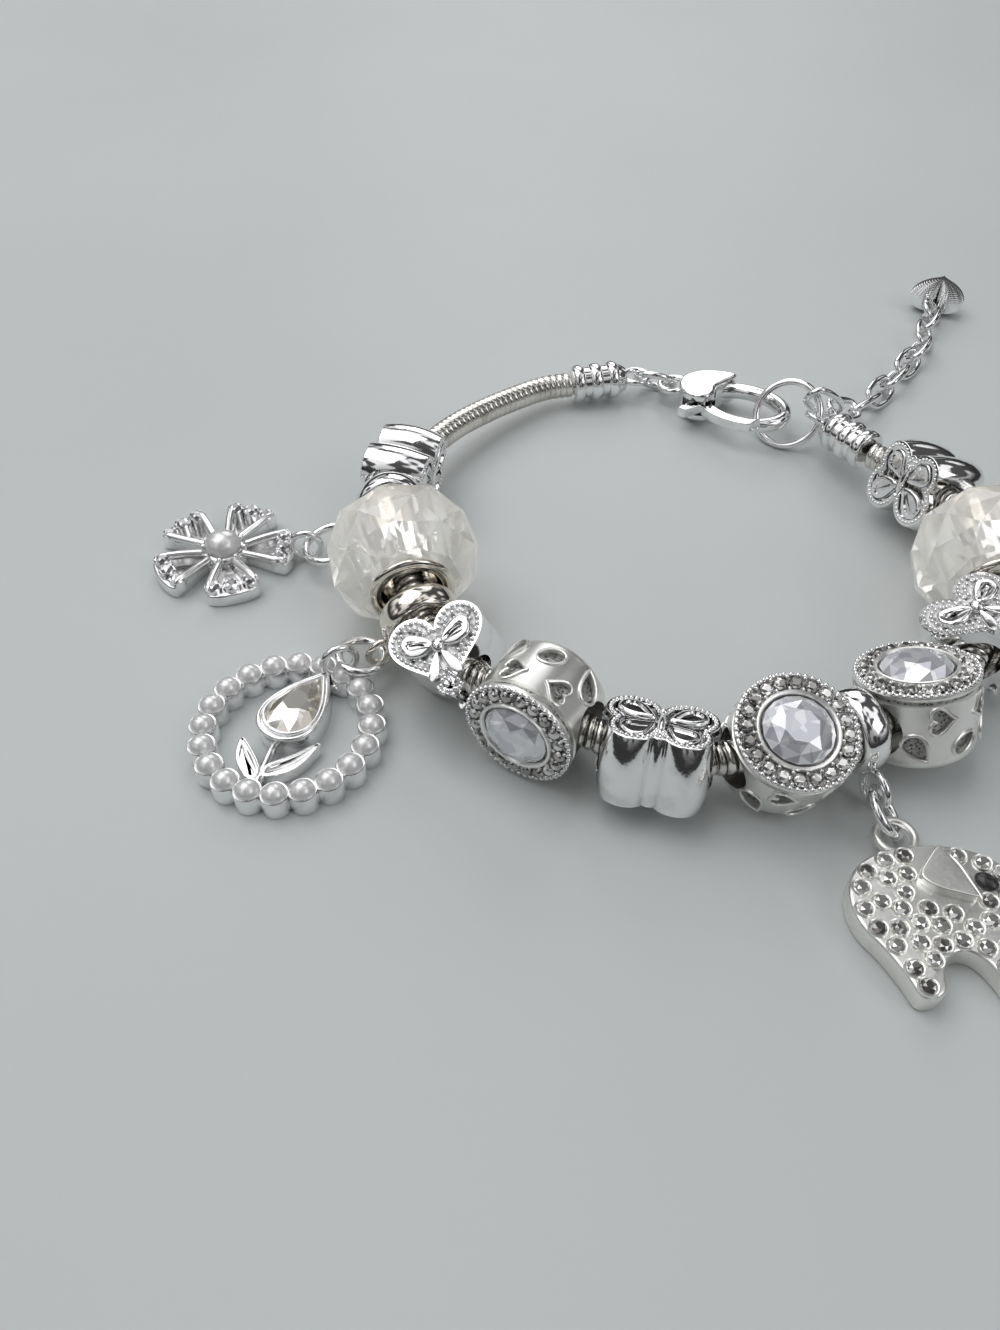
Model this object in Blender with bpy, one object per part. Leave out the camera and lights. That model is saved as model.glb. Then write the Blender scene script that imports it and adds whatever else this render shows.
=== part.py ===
"""Charm bracelet: a snake chain with slide-on beads, three charms, a lobster clasp and an extender.

Sizes in this file are in millimetres; add_part() turns a finished mesh into metres.
The bracelet lies on its side on a table at z = 0, and the loop's middle is the origin
until centre_on_footprint() moves everything over the middle of the footprint.
"""
import math

import bmesh
import bpy
import numpy as np
from mathutils import Matrix, Vector

MM = 0.001

# Driving dimensions
CHAIN_RADIUS = 1.5
GAP = 0.35                   # clearance between neighbouring pieces
BORE_RADIUS = 2.6            # hole of every metal bead
WIRE_RADIUS = 0.42           # jump rings
LINK_WIRE_RADIUS = 0.4       # extender links
LOOP_WIRE_RADIUS = 0.36      # small soldered loops
LOOP_RADIUS = 1.55           # small soldered loops, to the middle of the wire
LOOP_REACH = LOOP_RADIUS - 0.15   # from the surface that a loop is soldered to, to its middle

BUTTERFLY_DEPTH = 6.5
HEART_SIZE = 8.7
HEART_DEPTH = 7.6
DRUM_RADIUS = 5.1
DRUM_DEPTH = 7.4
DRUM_STONE_RADIUS = 2.8
CRYSTAL_RADIUS = 7.3
CRYSTAL_WIDTH = 8.6
CORE_RADIUS = 3.1
CORE_FLANGE_RADIUS = 4.2
BAIL_RADIUS = 3.75
BAIL_WIDTH = 2.5
CAP_LENGTH = 7.0
CAP_RADIUS = 2.3

PEARL_RING_RADIUS = 8.75
PEARL_COUNT = 20
PEARL_RING_HEIGHT = 2.0
FLOWER_RADIUS = 7.5
FLOWER_HEIGHT = 2.1
ELEPHANT_THICKNESS = 2.2
LINK_LENGTH = 5.5            # extender link, to the middle of the wire
LINK_HALF_WIDTH = 1.4
LINK_COUNT = 9

# Route of the chain through the beads, from the left end cap round to the right one
CHAIN_ROUTE = [
    (-9.6, 34.0, 2.6), (-12.6, 33.2, 2.6), (-15.8, 31.0, 2.8), (-19.8, 27.4, 3.2),
    (-23.6, 22.8, 3.8), (-26.9, 17.2, 4.3), (-29.0, 10.8, 5.2), (-29.1, 3.4, 6.8),
    (-27.5, -3.9, 7.4), (-25.5, -11.2, 6.1), (-21.6, -16.8, 5.1), (-15.6, -20.7, 5.4),
    (-8.3, -24.9, 4.8), (-1.4, -26.4, 4.8), (5.8, -25.3, 5.1), (13.4, -22.8, 5.1),
    (20.4, -18.9, 4.9), (25.7, -12.7, 6.1), (28.5, -5.4, 7.2), (28.6, 2.6, 6.8),
    (26.8, 10.2, 4.9), (23.4, 16.8, 4.3)]
CHAIN_POINTS = 54

# Lobster clasp, in its own plane with the root at x = 0
CLASP_THICKNESS = 3.6
CLASP_SLOT = 1.9             # between the cheeks that hold the lever
OVAL_CENTRE = 10.2           # middle of the clasp's opening, from its root
OVAL_OUTER = (6.1, 4.5)
OVAL_INNER = (4.3, 2.8)
LEVER_PIVOT = (5.7, -1.9)
LEVER_HALF_THICKNESS = CLASP_SLOT / 2 - GAP
# Angles round the opening, in degrees. The hook's tip and the lever's end are both cut along
# circles about the pivot, so that the lever swings in past the tip.
HOOK_START = 160
HOOK_TIP_OUTER = -55
HOOK_TIP_INNER = -30
LEVER_START = 228
LEVER_END_OUTER = 303
LEVER_END_INNER = 320

# Where the closure lies
CLASP_ROOT = Vector((3.6, 35.3, 1.9))
CLASP_DIRECTION = Vector((11.2, -10.1, 1.4))
HELD_POINT = (11.6, 1.1)         # where the held ring's wire passes the clasp's opening
EXTENDER_RING_WIRE = Vector((0.41, 0.45, 0.79))
EXTENDER_RING_ANGLE = 42         # degrees from the cap's loop to the first link
LINK_ROLLS = [30, -60, 40] + [-45, 45] * (LINK_COUNT // 2 - 1)   # degrees, round the chain
EXTENDER_ROUTE = [(23.0, 28.0, 2.4), (28.2, 32.5, 1.4), (34.1, 40.0, 1.4), (38.2, 45.6, 1.4),
                  (41.2, 53.4, 1.4), (45.5, 58.6, 1.4), (50.0, 63.5, 1.4)]

# Where the charms lie: each bail's distance along the chain and the point its loop leans to
FLOWER_BAIL = (38.6, (-34.0, 3.4, 1.95))
PEARL_BAIL = (54.5, (-30.6, -10.6, 1.95))
ELEPHANT_BAIL = (97.4, (11.4, -28.5, 2.3))
PEARL_CENTRE = Vector((-37.0, -20.4, 0.0))
STONE_PLACE = Matrix.Translation((0.9, 2.3, 0)) @ Matrix.Rotation(math.radians(62), 4, "Z")
LOOP_OUTWARD = Vector((0.92, 0.4, 0.0))

# Outlines in the plane of each piece
BUTTERFLY_WINGS = [(2.6, 1.45, 2.65), (-2.6, 1.45, 2.65), (2.35, -1.75, 2.35),
                   (-2.35, -1.75, 2.35), (0.0, -2.6, 0.75), (0.0, 0.0, 2.2)]
ELEPHANT_POINTS = [
    (-6.5, 1.2), (-5.6, 3.4), (-3.8, 4.8), (-1.5, 5.5), (1.5, 5.7), (4.4, 5.1), (6.6, 3.5),
    (8.2, 1.4), (9.5, -1.2), (10.3, -3.8), (9.4, -4.7), (8.5, -3.4), (7.2, -2.7), (6.5, -4.4),
    (6.2, -6.8), (3.8, -7.0), (3.0, -5.5), (2.3, -4.2), (1.3, -3.5), (0.2, -3.6), (-0.8, -4.5),
    (-1.4, -6.6), (-3.1, -7.0), (-3.9, -5.3), (-4.9, -3.3), (-6.2, -1.2)]
STEM_OUTLINE = [(-1.3, -0.6), (-0.5, -0.5), (-0.5, -2.4), (-1.2, -4.4), (-1.5, -6.6), (-2.6, -6.6),
                (-2.2, -4.3), (-1.4, -2.3)]
LEAF_LEFT_OUTLINE = [(-2.4, -5.6), (-1.7, -4.6), (-2.6, -2.6), (-3.9, -0.9), (-4.2, -2.9),
                     (-3.4, -4.7)]
LEAF_RIGHT_OUTLINE = [(-1.5, -5.2), (-1.3, -4.0), (0.6, -3.0), (3.0, -1.7), (2.0, -3.7),
                      (0.4, -5.0)]
CLASP_SHOULDER = [(1.7, -0.9), (1.7, 0.9), (3.0, 2.8), (5.2, 3.9), (6.8, 3.8), (6.5, 1.8),
                  (6.3, 0.0), (6.9, -1.3), (6.7, -2.8), (5.0, -3.5), (3.0, -2.8)]
CLASP_SLOT_OUTLINE = [(3.7, -0.2), (4.7, 0.1), (8.2, 0.1), (8.2, -5.4), (3.7, -5.4)]
LEVER_TAIL = [(6.1, -0.85), (5.2, -0.85), (4.7, -1.5), (4.7, -2.8), (4.4, -5.2), (5.4, -5.2),
              (5.9, -4.1)]

COLOURS = {
    "chrome": (0.82, 0.82, 0.81, 0.16, 1.0),
    "chain": (0.66, 0.65, 0.62, 0.28, 1.0),
    "nickel": (0.62, 0.58, 0.50, 0.25, 1.0),
    "glass": (0.88, 0.88, 0.84, 0.05, 0.0),
}


# ---------------------------------------------------------------- helpers

def catmull_rom(points, steps, closed=False):
    """Smooth curve through the points, with `steps` samples for each span."""
    pts = [Vector(p) for p in points]
    if closed:
        pts = [pts[-1]] + pts + pts[:2]
    else:
        pts = [2 * pts[0] - pts[1]] + pts + [2 * pts[-1] - pts[-2]]
    out = []
    for a, b, c, d in zip(pts, pts[1:], pts[2:], pts[3:]):
        for k in range(steps):
            t = k / steps
            out.append(0.5 * (2 * b + (c - a) * t + (2 * a - 5 * b + 4 * c - d) * t * t
                              + (3 * b - a - 3 * c + d) * t ** 3))
    if not closed:
        out.append(pts[-2])
    return out


class Route:
    """The chain's centre line, read by the distance along it."""

    def __init__(self, points):
        self.line = np.array(catmull_rom(points, 24))
        steps = np.linalg.norm(np.diff(self.line, axis=0), axis=1)
        self.distance = np.concatenate([[0.0], np.cumsum(steps)])
        self.length = float(self.distance[-1])

    def point(self, s):
        return Vector([np.interp(s, self.distance, self.line[:, k]) for k in range(3)])

    def tangent(self, s):
        return (self.point(s + 1.0) - self.point(s - 1.0)).normalized()


ROUTE = Route(CHAIN_ROUTE)


def material(name):
    """Principled material of the given finish, made once."""
    if name in bpy.data.materials:
        return bpy.data.materials[name]
    red, green, blue, roughness, metallic = COLOURS[name.split(".")[0]]
    mat = bpy.data.materials.new(name)
    mat.use_nodes = True
    shader = mat.node_tree.nodes["Principled BSDF"]
    shader.inputs["Base Color"].default_value = (red, green, blue, 1.0)
    shader.inputs["Roughness"].default_value = roughness
    shader.inputs["Metallic"].default_value = metallic
    return mat


def add_part(name, bm, finish, place=None):
    """Turn a bmesh in millimetres into a named object at its place."""
    bmesh.ops.remove_doubles(bm, verts=bm.verts, dist=0.002)
    bmesh.ops.recalc_face_normals(bm, faces=bm.faces)
    bmesh.ops.scale(bm, vec=(MM, MM, MM), verts=bm.verts)
    mesh = bpy.data.meshes.new(name)
    bm.to_mesh(mesh)
    bm.free()
    mesh.materials.append(material(f"{finish}.{name}"))
    mesh.shade_smooth()
    mesh.set_sharp_from_angle(angle=math.radians(35))
    obj = bpy.data.objects.new(name, mesh)
    bpy.context.scene.collection.objects.link(obj)
    if place is not None:
        location, rotation, _ = place.decompose()
        obj.rotation_mode = "QUATERNION"
        obj.location = location * MM
        obj.rotation_quaternion = rotation
    return obj


def combine(obj, bm, operation):
    """Join or cut a bmesh, in the object's own millimetres, with an exact Boolean."""
    bmesh.ops.remove_doubles(bm, verts=bm.verts, dist=0.002)
    bmesh.ops.recalc_face_normals(bm, faces=bm.faces)
    bmesh.ops.scale(bm, vec=(MM, MM, MM), verts=bm.verts)
    tool_mesh = bpy.data.meshes.new(obj.name + "_tool")
    bm.to_mesh(tool_mesh)
    bm.free()
    tool = bpy.data.objects.new(f"{obj.name}_{operation.lower()}_{len(obj.modifiers)}", tool_mesh)
    bpy.context.scene.collection.objects.link(tool)
    tool.parent = obj
    tool.hide_render = True
    tool.display_type = "WIRE"
    tool.hide_set(True)
    modifier = obj.modifiers.new(operation.title(), "BOOLEAN")
    modifier.operation = operation
    modifier.solver = "EXACT"
    modifier.object = tool
    return modifier


def turned(profile, sides, closed=True):
    """Solid of revolution about X from (along, radius) points: a closed ring, or a line that
    starts and ends on the axis."""
    bm = bmesh.new()
    ring = [bm.verts.new((x, r, 0)) for x, r in profile]
    pairs = list(zip(ring, ring[1:]))
    if closed:
        pairs.append((ring[-1], ring[0]))
    edges = [bm.edges.new(pair) for pair in pairs]
    bmesh.ops.spin(bm, geom=ring + edges, cent=(0, 0, 0), axis=(1, 0, 0),
                   angle=2 * math.pi, steps=sides, use_merge=True)
    return bm


def prism(outline, low, high, chamfer=0.0):
    """Solid between two heights with the given outline, and chamfered rims."""
    bm = bmesh.new()
    face = bm.faces.new([bm.verts.new((x, y, low)) for x, y in outline])
    grown = bmesh.ops.extrude_face_region(bm, geom=[face])["geom"]
    top = [v for v in grown if isinstance(v, bmesh.types.BMVert)]
    bmesh.ops.translate(bm, vec=(0, 0, high - low), verts=top)
    bmesh.ops.recalc_face_normals(bm, faces=bm.faces)
    if chamfer:
        rims = [e for e in bm.edges if abs(e.verts[0].co.z - e.verts[1].co.z) < 1e-6]
        bmesh.ops.bevel(bm, geom=rims, offset=chamfer, segments=1, profile=0.5,
                        affect="EDGES", clamp_overlap=True)
    return bm


def rod(start, end, radius, sides=12):
    """Straight round bar between two points."""
    start, end = Vector(start), Vector(end)
    bm = bmesh.new()
    bmesh.ops.create_cone(bm, cap_ends=True, segments=sides, radius1=radius, radius2=radius,
                          depth=(end - start).length)
    turn = Vector((0, 0, 1)).rotation_difference(end - start).to_matrix().to_4x4()
    bmesh.ops.transform(bm, matrix=Matrix.Translation((start + end) / 2) @ turn, verts=bm.verts)
    return bm


def wire_loop(half_length, half_width, wire, steps=12, sides=6):
    """Closed oval ring of wire in the XY plane, long along X; a circle when both are equal."""
    bm = bmesh.new()
    rings = []
    straight = half_length - half_width
    for k in range(steps):
        a = 2 * math.pi * k / steps
        outward = Vector((math.cos(a), math.sin(a), 0))
        shift = straight * max(-1.0, min(1.0, 1.6 * math.cos(a)))
        centre = half_width * outward + Vector((shift, 0, 0))
        rings.append([bm.verts.new(centre + wire * (math.cos(b) * outward
                                                    + math.sin(b) * Vector((0, 0, 1))))
                      for b in (2 * math.pi * j / sides for j in range(sides))])
    for k in range(steps):
        here, after = rings[k], rings[(k + 1) % steps]
        for j in range(sides):
            bm.faces.new((here[j], after[j], after[(j + 1) % sides], here[(j + 1) % sides]))
    return bm


def moved(bm, matrix):
    """The bmesh after a transform."""
    bmesh.ops.transform(bm, matrix=matrix, verts=bm.verts)
    return bm


X_TO_Z = Matrix.Rotation(-math.pi / 2, 4, "Y")


def frame_at(origin, x_axis, z_hint):
    """Placement with X along x_axis and Z as near to z_hint as it can be."""
    x = Vector(x_axis).normalized()
    z = Vector(z_hint)
    z = (z - x * z.dot(x)).normalized()
    y = z.cross(x)
    rows = Matrix((x, y, z)).transposed().to_4x4()
    return Matrix.Translation(Vector(origin)) @ rows


def bead_frame(s, face, drop=0.0):
    """Placement of a bead on the chain: X along the chain and Z out of the bead's face."""
    return frame_at(ROUTE.point(s) - Vector((0, 0, drop)), ROUTE.tangent(s), face)


# ---------------------------------------------------------------- outlines

def lobed_outline(circles, count):
    """Outline of a group of circles that overlap round the origin, by its angle."""
    outline = []
    for k in range(count):
        a = 2 * math.pi * (k + 0.5) / count
        ray = (math.cos(a), math.sin(a))
        reach = 0.0
        for cx, cy, r in circles:
            along = cx * ray[0] + cy * ray[1]
            off = cx * ray[1] - cy * ray[0]
            if abs(off) < r:
                reach = max(reach, along + math.sqrt(r * r - off * off))
        outline.append((reach * ray[0], reach * ray[1]))
    return outline


def heart_outline(size, count):
    """Heart of the given width, its tip towards -Y."""
    scale = size / 32.0
    outline = []
    for k in range(count):
        t = 2 * math.pi * (k + 0.5) / count
        x = 16 * math.sin(t) ** 3
        y = 13 * math.cos(t) - 5 * math.cos(2 * t) - 2 * math.cos(3 * t) - math.cos(4 * t)
        outline.append((scale * x, scale * (y + 2.5)))
    return outline


def flower_outline(count):
    """Five fan-shaped petals; one points along +X."""
    waist = 2.9
    outline = []
    for k in range(count):
        a = 2 * math.pi * k / count
        petal = min(1.0, 1.35 * abs(math.cos(2.5 * a)) ** 0.8)
        radius = waist + (FLOWER_RADIUS - waist) * petal
        outline.append((radius * math.cos(a), radius * math.sin(a)))
    return outline


def smooth_outline(points, steps=2):
    """Closed smooth outline through the points."""
    return [(p.x, p.y) for p in catmull_rom([(x, y, 0) for x, y in points], steps, closed=True)]


# ---------------------------------------------------------------- chain and end caps

def build_snake_chain():
    """Round snake chain: one tube along its true route."""
    curve = bpy.data.curves.new("snake_chain", "CURVE")
    curve.dimensions = "3D"
    curve.bevel_depth = CHAIN_RADIUS * MM
    curve.bevel_resolution = 2
    curve.use_fill_caps = True
    spline = curve.splines.new("POLY")
    spline.points.add(CHAIN_POINTS - 1)
    for k in range(CHAIN_POINTS):
        p = ROUTE.point(ROUTE.length * k / (CHAIN_POINTS - 1)) * MM
        spline.points[k].co = (p.x, p.y, p.z, 1.0)
    curve.materials.append(material("chain.snake_chain"))
    obj = bpy.data.objects.new("snake_chain", curve)
    bpy.context.scene.collection.objects.link(obj)
    return obj


def build_end_cap(name, origin, direction, loop_axis):
    """Ribbed cap that holds the chain's end, with a soldered loop; X runs away from the chain."""
    r = CAP_RADIUS
    profile = [(0.0, 0.0), (0.0, r), (1.3, r), (1.7, r - 0.35), (2.3, r - 0.35), (2.7, r),
               (3.6, r), (4.0, r - 0.35), (4.6, r - 0.35), (5.0, r), (5.9, r),
               (CAP_LENGTH, r - 0.8), (CAP_LENGTH, 0.0)]
    bm = turned(profile, 12, closed=False)
    cap = add_part(name, bm, "chrome", frame_at(origin, direction, loop_axis))
    loop = wire_loop(LOOP_RADIUS, LOOP_RADIUS, LOOP_WIRE_RADIUS, steps=12)
    combine(cap, moved(loop, Matrix.Translation((CAP_LENGTH + LOOP_REACH, 0, 0))), "UNION")
    return cap


def cap_direction(end, inward):
    """Direction in which a cap leaves the chain's end; `inward` is a distance just inside it."""
    return (ROUTE.point(end) - ROUTE.point(inward)).normalized()


LEFT_CAP_DIRECTION = cap_direction(0.0, 1.0)
RIGHT_CAP_DIRECTION = cap_direction(ROUTE.length, ROUTE.length - 1.0)


def build_end_caps():
    """Both caps, each one gap away from the chain's cut end, face to face."""
    start, end = ROUTE.point(0), ROUTE.point(ROUTE.length)
    left, right = LEFT_CAP_DIRECTION, RIGHT_CAP_DIRECTION
    build_end_cap("end_cap_left", start + GAP * left, left, (0, 0, 1))
    build_end_cap("end_cap_right", end + GAP * right, right, EXTENDER_RING_WIRE)


def cap_loop_centre(end, direction):
    """Middle of the loop of the cap at one end of the chain."""
    return end + (GAP + CAP_LENGTH + LOOP_REACH) * direction


# ---------------------------------------------------------------- beads

def cut_bore(obj, radius=BORE_RADIUS, sides=14):
    """Hole for the chain along the bead's X axis."""
    combine(obj, rod((-12, 0, 0), (12, 0, 0), radius, sides), "DIFFERENCE")


def build_butterfly(name, s, face, drop=0.0):
    """Butterfly outline, drawn up into tall rounded walls."""
    half = BUTTERFLY_DEPTH / 2
    bm = prism(lobed_outline(BUTTERFLY_WINGS, 36), -half, half, 0.5)
    obj = add_part(name, bm, "chrome", bead_frame(s, face, drop))
    cut_bore(obj, BORE_RADIUS + 0.2)
    return obj


def build_heart_bow(name, s, face, turn, drop=0.0):
    """Heart-shaped bead, with its outline turned in the face against the chain."""
    half = HEART_DEPTH / 2
    bm = prism(heart_outline(HEART_SIZE, 32), -half, half, 0.5)
    bmesh.ops.rotate(bm, cent=(0, 0, 0), matrix=Matrix.Rotation(turn, 3, "Z"), verts=bm.verts)
    obj = add_part(name, bm, "chrome", bead_frame(s, face, drop))
    cut_bore(obj)
    return obj


def build_drum(number, s, face, drop=0.0):
    """Drum bead with a stone set in a raised bezel in its face."""
    half, r = DRUM_DEPTH / 2, DRUM_RADIUS
    seat = DRUM_STONE_RADIUS + GAP
    profile = [(-half, 0.0), (-half, r - 1.5), (-half + 0.8, r - 0.5), (-half + 2.5, r - 0.15),
               (half - 0.8, r - 0.15), (half - 0.5, r), (half, r), (half + 0.1, seat + 0.35),
               (half + 0.5, seat + 0.3), (half + 0.5, seat), (half - 1.0, seat),
               (half - 1.0, 0.0)]
    place = bead_frame(s, face, drop)
    body = moved(turned(profile, 20, closed=False), X_TO_Z)
    obj = add_part(f"drum_body_{number}", body, "chrome", place)
    cut_bore(obj)

    top, girdle, bottom = half + 1.0, half + 0.3, half - 1.0 + GAP
    stone = [(bottom, 0.0), (bottom, 0.58 * DRUM_STONE_RADIUS), (girdle, DRUM_STONE_RADIUS),
             (top, 0.52 * DRUM_STONE_RADIUS), (top, 0.0)]
    crystal = moved(turned(stone, 12, closed=False), X_TO_Z)
    add_part(f"drum_crystal_{number}", crystal, "glass", place)


def build_crystal(number, s):
    """Faceted glass bead on a flanged metal core."""
    half, hole = CRYSTAL_WIDTH / 2, CORE_RADIUS + GAP
    place = bead_frame(s, (0, 0, 1))
    shoulder, flat = CRYSTAL_RADIUS - 2.6, 1.9
    profile = [(-half, hole), (-half, shoulder), (-flat, CRYSTAL_RADIUS), (flat, CRYSTAL_RADIUS),
               (half, shoulder), (half, hole)]
    add_part(f"crystal_glass_{number}", turned(profile, 14), "glass", place)
    inner, lip = CORE_RADIUS - 0.4, half + GAP
    core = [(-lip - 0.7, inner), (-lip - 0.7, CORE_FLANGE_RADIUS - 0.3),
            (-lip - 0.35, CORE_FLANGE_RADIUS), (-lip, CORE_FLANGE_RADIUS), (-lip, CORE_RADIUS),
            (lip, CORE_RADIUS), (lip, CORE_FLANGE_RADIUS), (lip + 0.35, CORE_FLANGE_RADIUS),
            (lip + 0.7, CORE_FLANGE_RADIUS - 0.3), (lip + 0.7, inner)]
    add_part(f"crystal_core_{number}", turned(core, 14), "nickel", place)


def build_bail(name, s, loop_point):
    """Rounded band that slides on the chain and carries a small soldered loop."""
    centre, along = ROUTE.point(s), ROUTE.tangent(s)
    toward = Vector(loop_point) - centre
    toward = (toward - along * toward.dot(along)).normalized()
    w, r, bore = BAIL_WIDTH / 2, BAIL_RADIUS, BORE_RADIUS
    profile = [(-w, bore + 0.5), (-w, r - 0.6), (-w + 0.6, r), (w - 0.6, r), (w, r - 0.6),
               (w, bore + 0.5), (w - 0.5, bore), (-w + 0.5, bore)]
    obj = add_part(name, turned(profile, 16), "chrome", frame_at(centre, along, toward))
    loop = wire_loop(LOOP_RADIUS, LOOP_RADIUS, LOOP_WIRE_RADIUS, steps=12)
    stand = Matrix.Rotation(math.pi / 2, 4, "Y")
    place = Matrix.Translation((0, 0, r + LOOP_REACH)) @ stand
    combine(obj, moved(loop, place), "UNION")
    return centre + (r + LOOP_REACH) * toward


def build_ring(name, first, second, z_hint, wire=WIRE_RADIUS):
    """Round jump ring whose wire passes through two points."""
    first, second = Vector(first), Vector(second)
    radius = (second - first).length / 2
    bm = wire_loop(radius, radius, wire)
    return add_part(name, bm, "chrome", frame_at((first + second) / 2, second - first, z_hint))


# ---------------------------------------------------------------- charms

def build_flower(loop_centre):
    """Five-petal flower with a domed middle and its own standing loop."""
    reach = FLOWER_RADIUS + LOOP_RADIUS - 0.35
    place = frame_at(Vector((loop_centre.x - reach, loop_centre.y, 0)), (1, 0, 0), (0, 0, 1))
    obj = add_part("flower_charm", prism(flower_outline(60), 0.0, FLOWER_HEIGHT, 0.3), "chrome", place)
    bm = bmesh.new()
    bmesh.ops.create_uvsphere(bm, u_segments=12, v_segments=8, radius=1.75)
    combine(obj, moved(bm, Matrix.Translation((0, 0, FLOWER_HEIGHT))), "UNION")
    add_standing_loop(obj, (reach, 0, loop_centre.z), (1, 0, 0))
    return place


def add_standing_loop(obj, centre, along):
    """Small loop standing up from the table, in the plane of Z and `along`."""
    loop = wire_loop(LOOP_RADIUS, LOOP_RADIUS, LOOP_WIRE_RADIUS, steps=12)
    side = Vector(along).cross(Vector((0, 0, 1)))
    combine(obj, moved(loop, frame_at(centre, along, side)), "UNION")


def build_pearl_charm(centre, loop_centre):
    """Ring of pearl cups round a tulip that holds a pear-shaped stone."""
    count = PEARL_COUNT
    cup = 1.28
    outer = [((PEARL_RING_RADIUS - cup) * math.cos(a), (PEARL_RING_RADIUS - cup) * math.sin(a), cup)
             for a in (2 * math.pi * k / count for k in range(count))]
    outline = lobed_outline(outer, count * 4)
    place = Matrix.Translation(centre)
    obj = add_part("pearl_charm", prism(outline, 0.0, PEARL_RING_HEIGHT, 0.0), "chrome", place)
    inner = [((PEARL_RING_RADIUS - 2.35) * math.cos(a), (PEARL_RING_RADIUS - 2.35) * math.sin(a))
             for a in (2 * math.pi * k / 40 for k in range(40))]
    combine(obj, prism(inner, -1.0, PEARL_RING_HEIGHT + 1.0), "DIFFERENCE")

    bezel = prism(pear_outline(3.15, 20), 0.0, 2.4, 0.0)
    combine(obj, moved(bezel, STONE_PLACE), "UNION")
    seat = prism(pear_outline(2.75, 20), 1.0, 3.4, 0.0)
    combine(obj, moved(seat, STONE_PLACE), "DIFFERENCE")
    for outline in (STEM_OUTLINE, LEAF_LEFT_OUTLINE, LEAF_RIGHT_OUTLINE):
        combine(obj, prism(smooth_outline(outline), 0.15, 1.25, 0.0), "UNION")
    local = Vector(loop_centre) - Vector(centre)
    add_standing_loop(obj, local, LOOP_OUTWARD)

    stone = prism(pear_outline(2.1, 16), 1.0 + GAP, 2.3, 0.0)
    crown = [f for f in stone.faces if f.normal.z > 0.9]
    table = bmesh.ops.extrude_face_region(stone, geom=crown)["geom"]
    raised = [v for v in table if isinstance(v, bmesh.types.BMVert)]
    bmesh.ops.delete(stone, geom=crown, context="FACES_ONLY")
    for vert in raised:
        vert.co = Vector((vert.co.x * 0.5, (vert.co.y) * 0.5, 3.2))
    add_part("teardrop_stone", stone, "glass", place @ STONE_PLACE)


def pear_outline(radius, count):
    """Pear shape, round towards -X and pointed towards +X."""
    outline = []
    for k in range(count):
        t = 2 * math.pi * k / count
        y = 1.22 * radius * math.sin(t) * math.sin(t / 2) ** 1.1
        outline.append((1.42 * radius * math.cos(t), y))
    return outline


def build_elephant(centre, loop_centre):
    """Flat elephant in profile, facing +X, with a loop in its own plane on its back."""
    place = Matrix.Translation(centre)
    bm = prism(smooth_outline(ELEPHANT_POINTS), 0.0, ELEPHANT_THICKNESS, 0.25)
    obj = add_part("elephant_charm", bm, "chrome", place)
    local = Vector(loop_centre) - Vector(centre)
    loop = wire_loop(LOOP_RADIUS, LOOP_RADIUS, LOOP_WIRE_RADIUS, steps=12)
    combine(obj, moved(loop, Matrix.Translation(local)), "UNION")


# ---------------------------------------------------------------- clasp

def oval_arc(size, start, end, steps):
    """Points of an oval round the middle of the clasp's opening, between two angles in degrees."""
    angles = [math.radians(start + (end - start) * k / steps) for k in range(steps + 1)]
    return [(OVAL_CENTRE + size[0] * math.cos(a), size[1] * math.sin(a)) for a in angles]


def build_clasp():
    """Lobster clasp: a hooked body with two cheeks, and a lever between them on a rivet."""
    place = frame_at(CLASP_ROOT, CLASP_DIRECTION, (0, 0, 1))
    half = CLASP_THICKNESS / 2
    hook = oval_arc(OVAL_OUTER, HOOK_TIP_OUTER, HOOK_START, 16)
    hook += oval_arc(OVAL_INNER, HOOK_START, HOOK_TIP_INNER, 14)
    body = add_part("clasp_body", prism(hook, -0.95, 0.95, 0.3), "chrome", place)
    combine(body, prism(smooth_outline(CLASP_SHOULDER), -half, half, 0.45), "UNION")
    combine(body, prism(CLASP_SLOT_OUTLINE, -CLASP_SLOT / 2, CLASP_SLOT / 2), "DIFFERENCE")
    rivet = rod((*LEVER_PIVOT, -half + 0.2), (*LEVER_PIVOT, half - 0.2), 0.45, 10)
    combine(body, rivet, "UNION")
    loop = wire_loop(1.75, 1.75, 0.42, steps=14)
    combine(body, moved(loop, Matrix.Translation((0.2, 0, 0))), "UNION")

    arm = oval_arc((OVAL_OUTER[0] - 0.2, OVAL_OUTER[1] - 0.15), LEVER_START, LEVER_END_OUTER, 10)
    arm += oval_arc((OVAL_INNER[0] + 0.2, OVAL_INNER[1] + 0.15), LEVER_END_INNER, LEVER_START, 10)
    arm += LEVER_TAIL
    pivot = Matrix.Translation((-LEVER_PIVOT[0], -LEVER_PIVOT[1], 0))
    bm = moved(prism(arm, -LEVER_HALF_THICKNESS, LEVER_HALF_THICKNESS, 0.2), pivot)
    lever = add_part("clasp_lever", bm, "chrome", place @ pivot.inverted())
    combine(lever, rod((0, 0, -2), (0, 0, 2), 0.45 + GAP, 10), "DIFFERENCE")


# ---------------------------------------------------------------- extender

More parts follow.
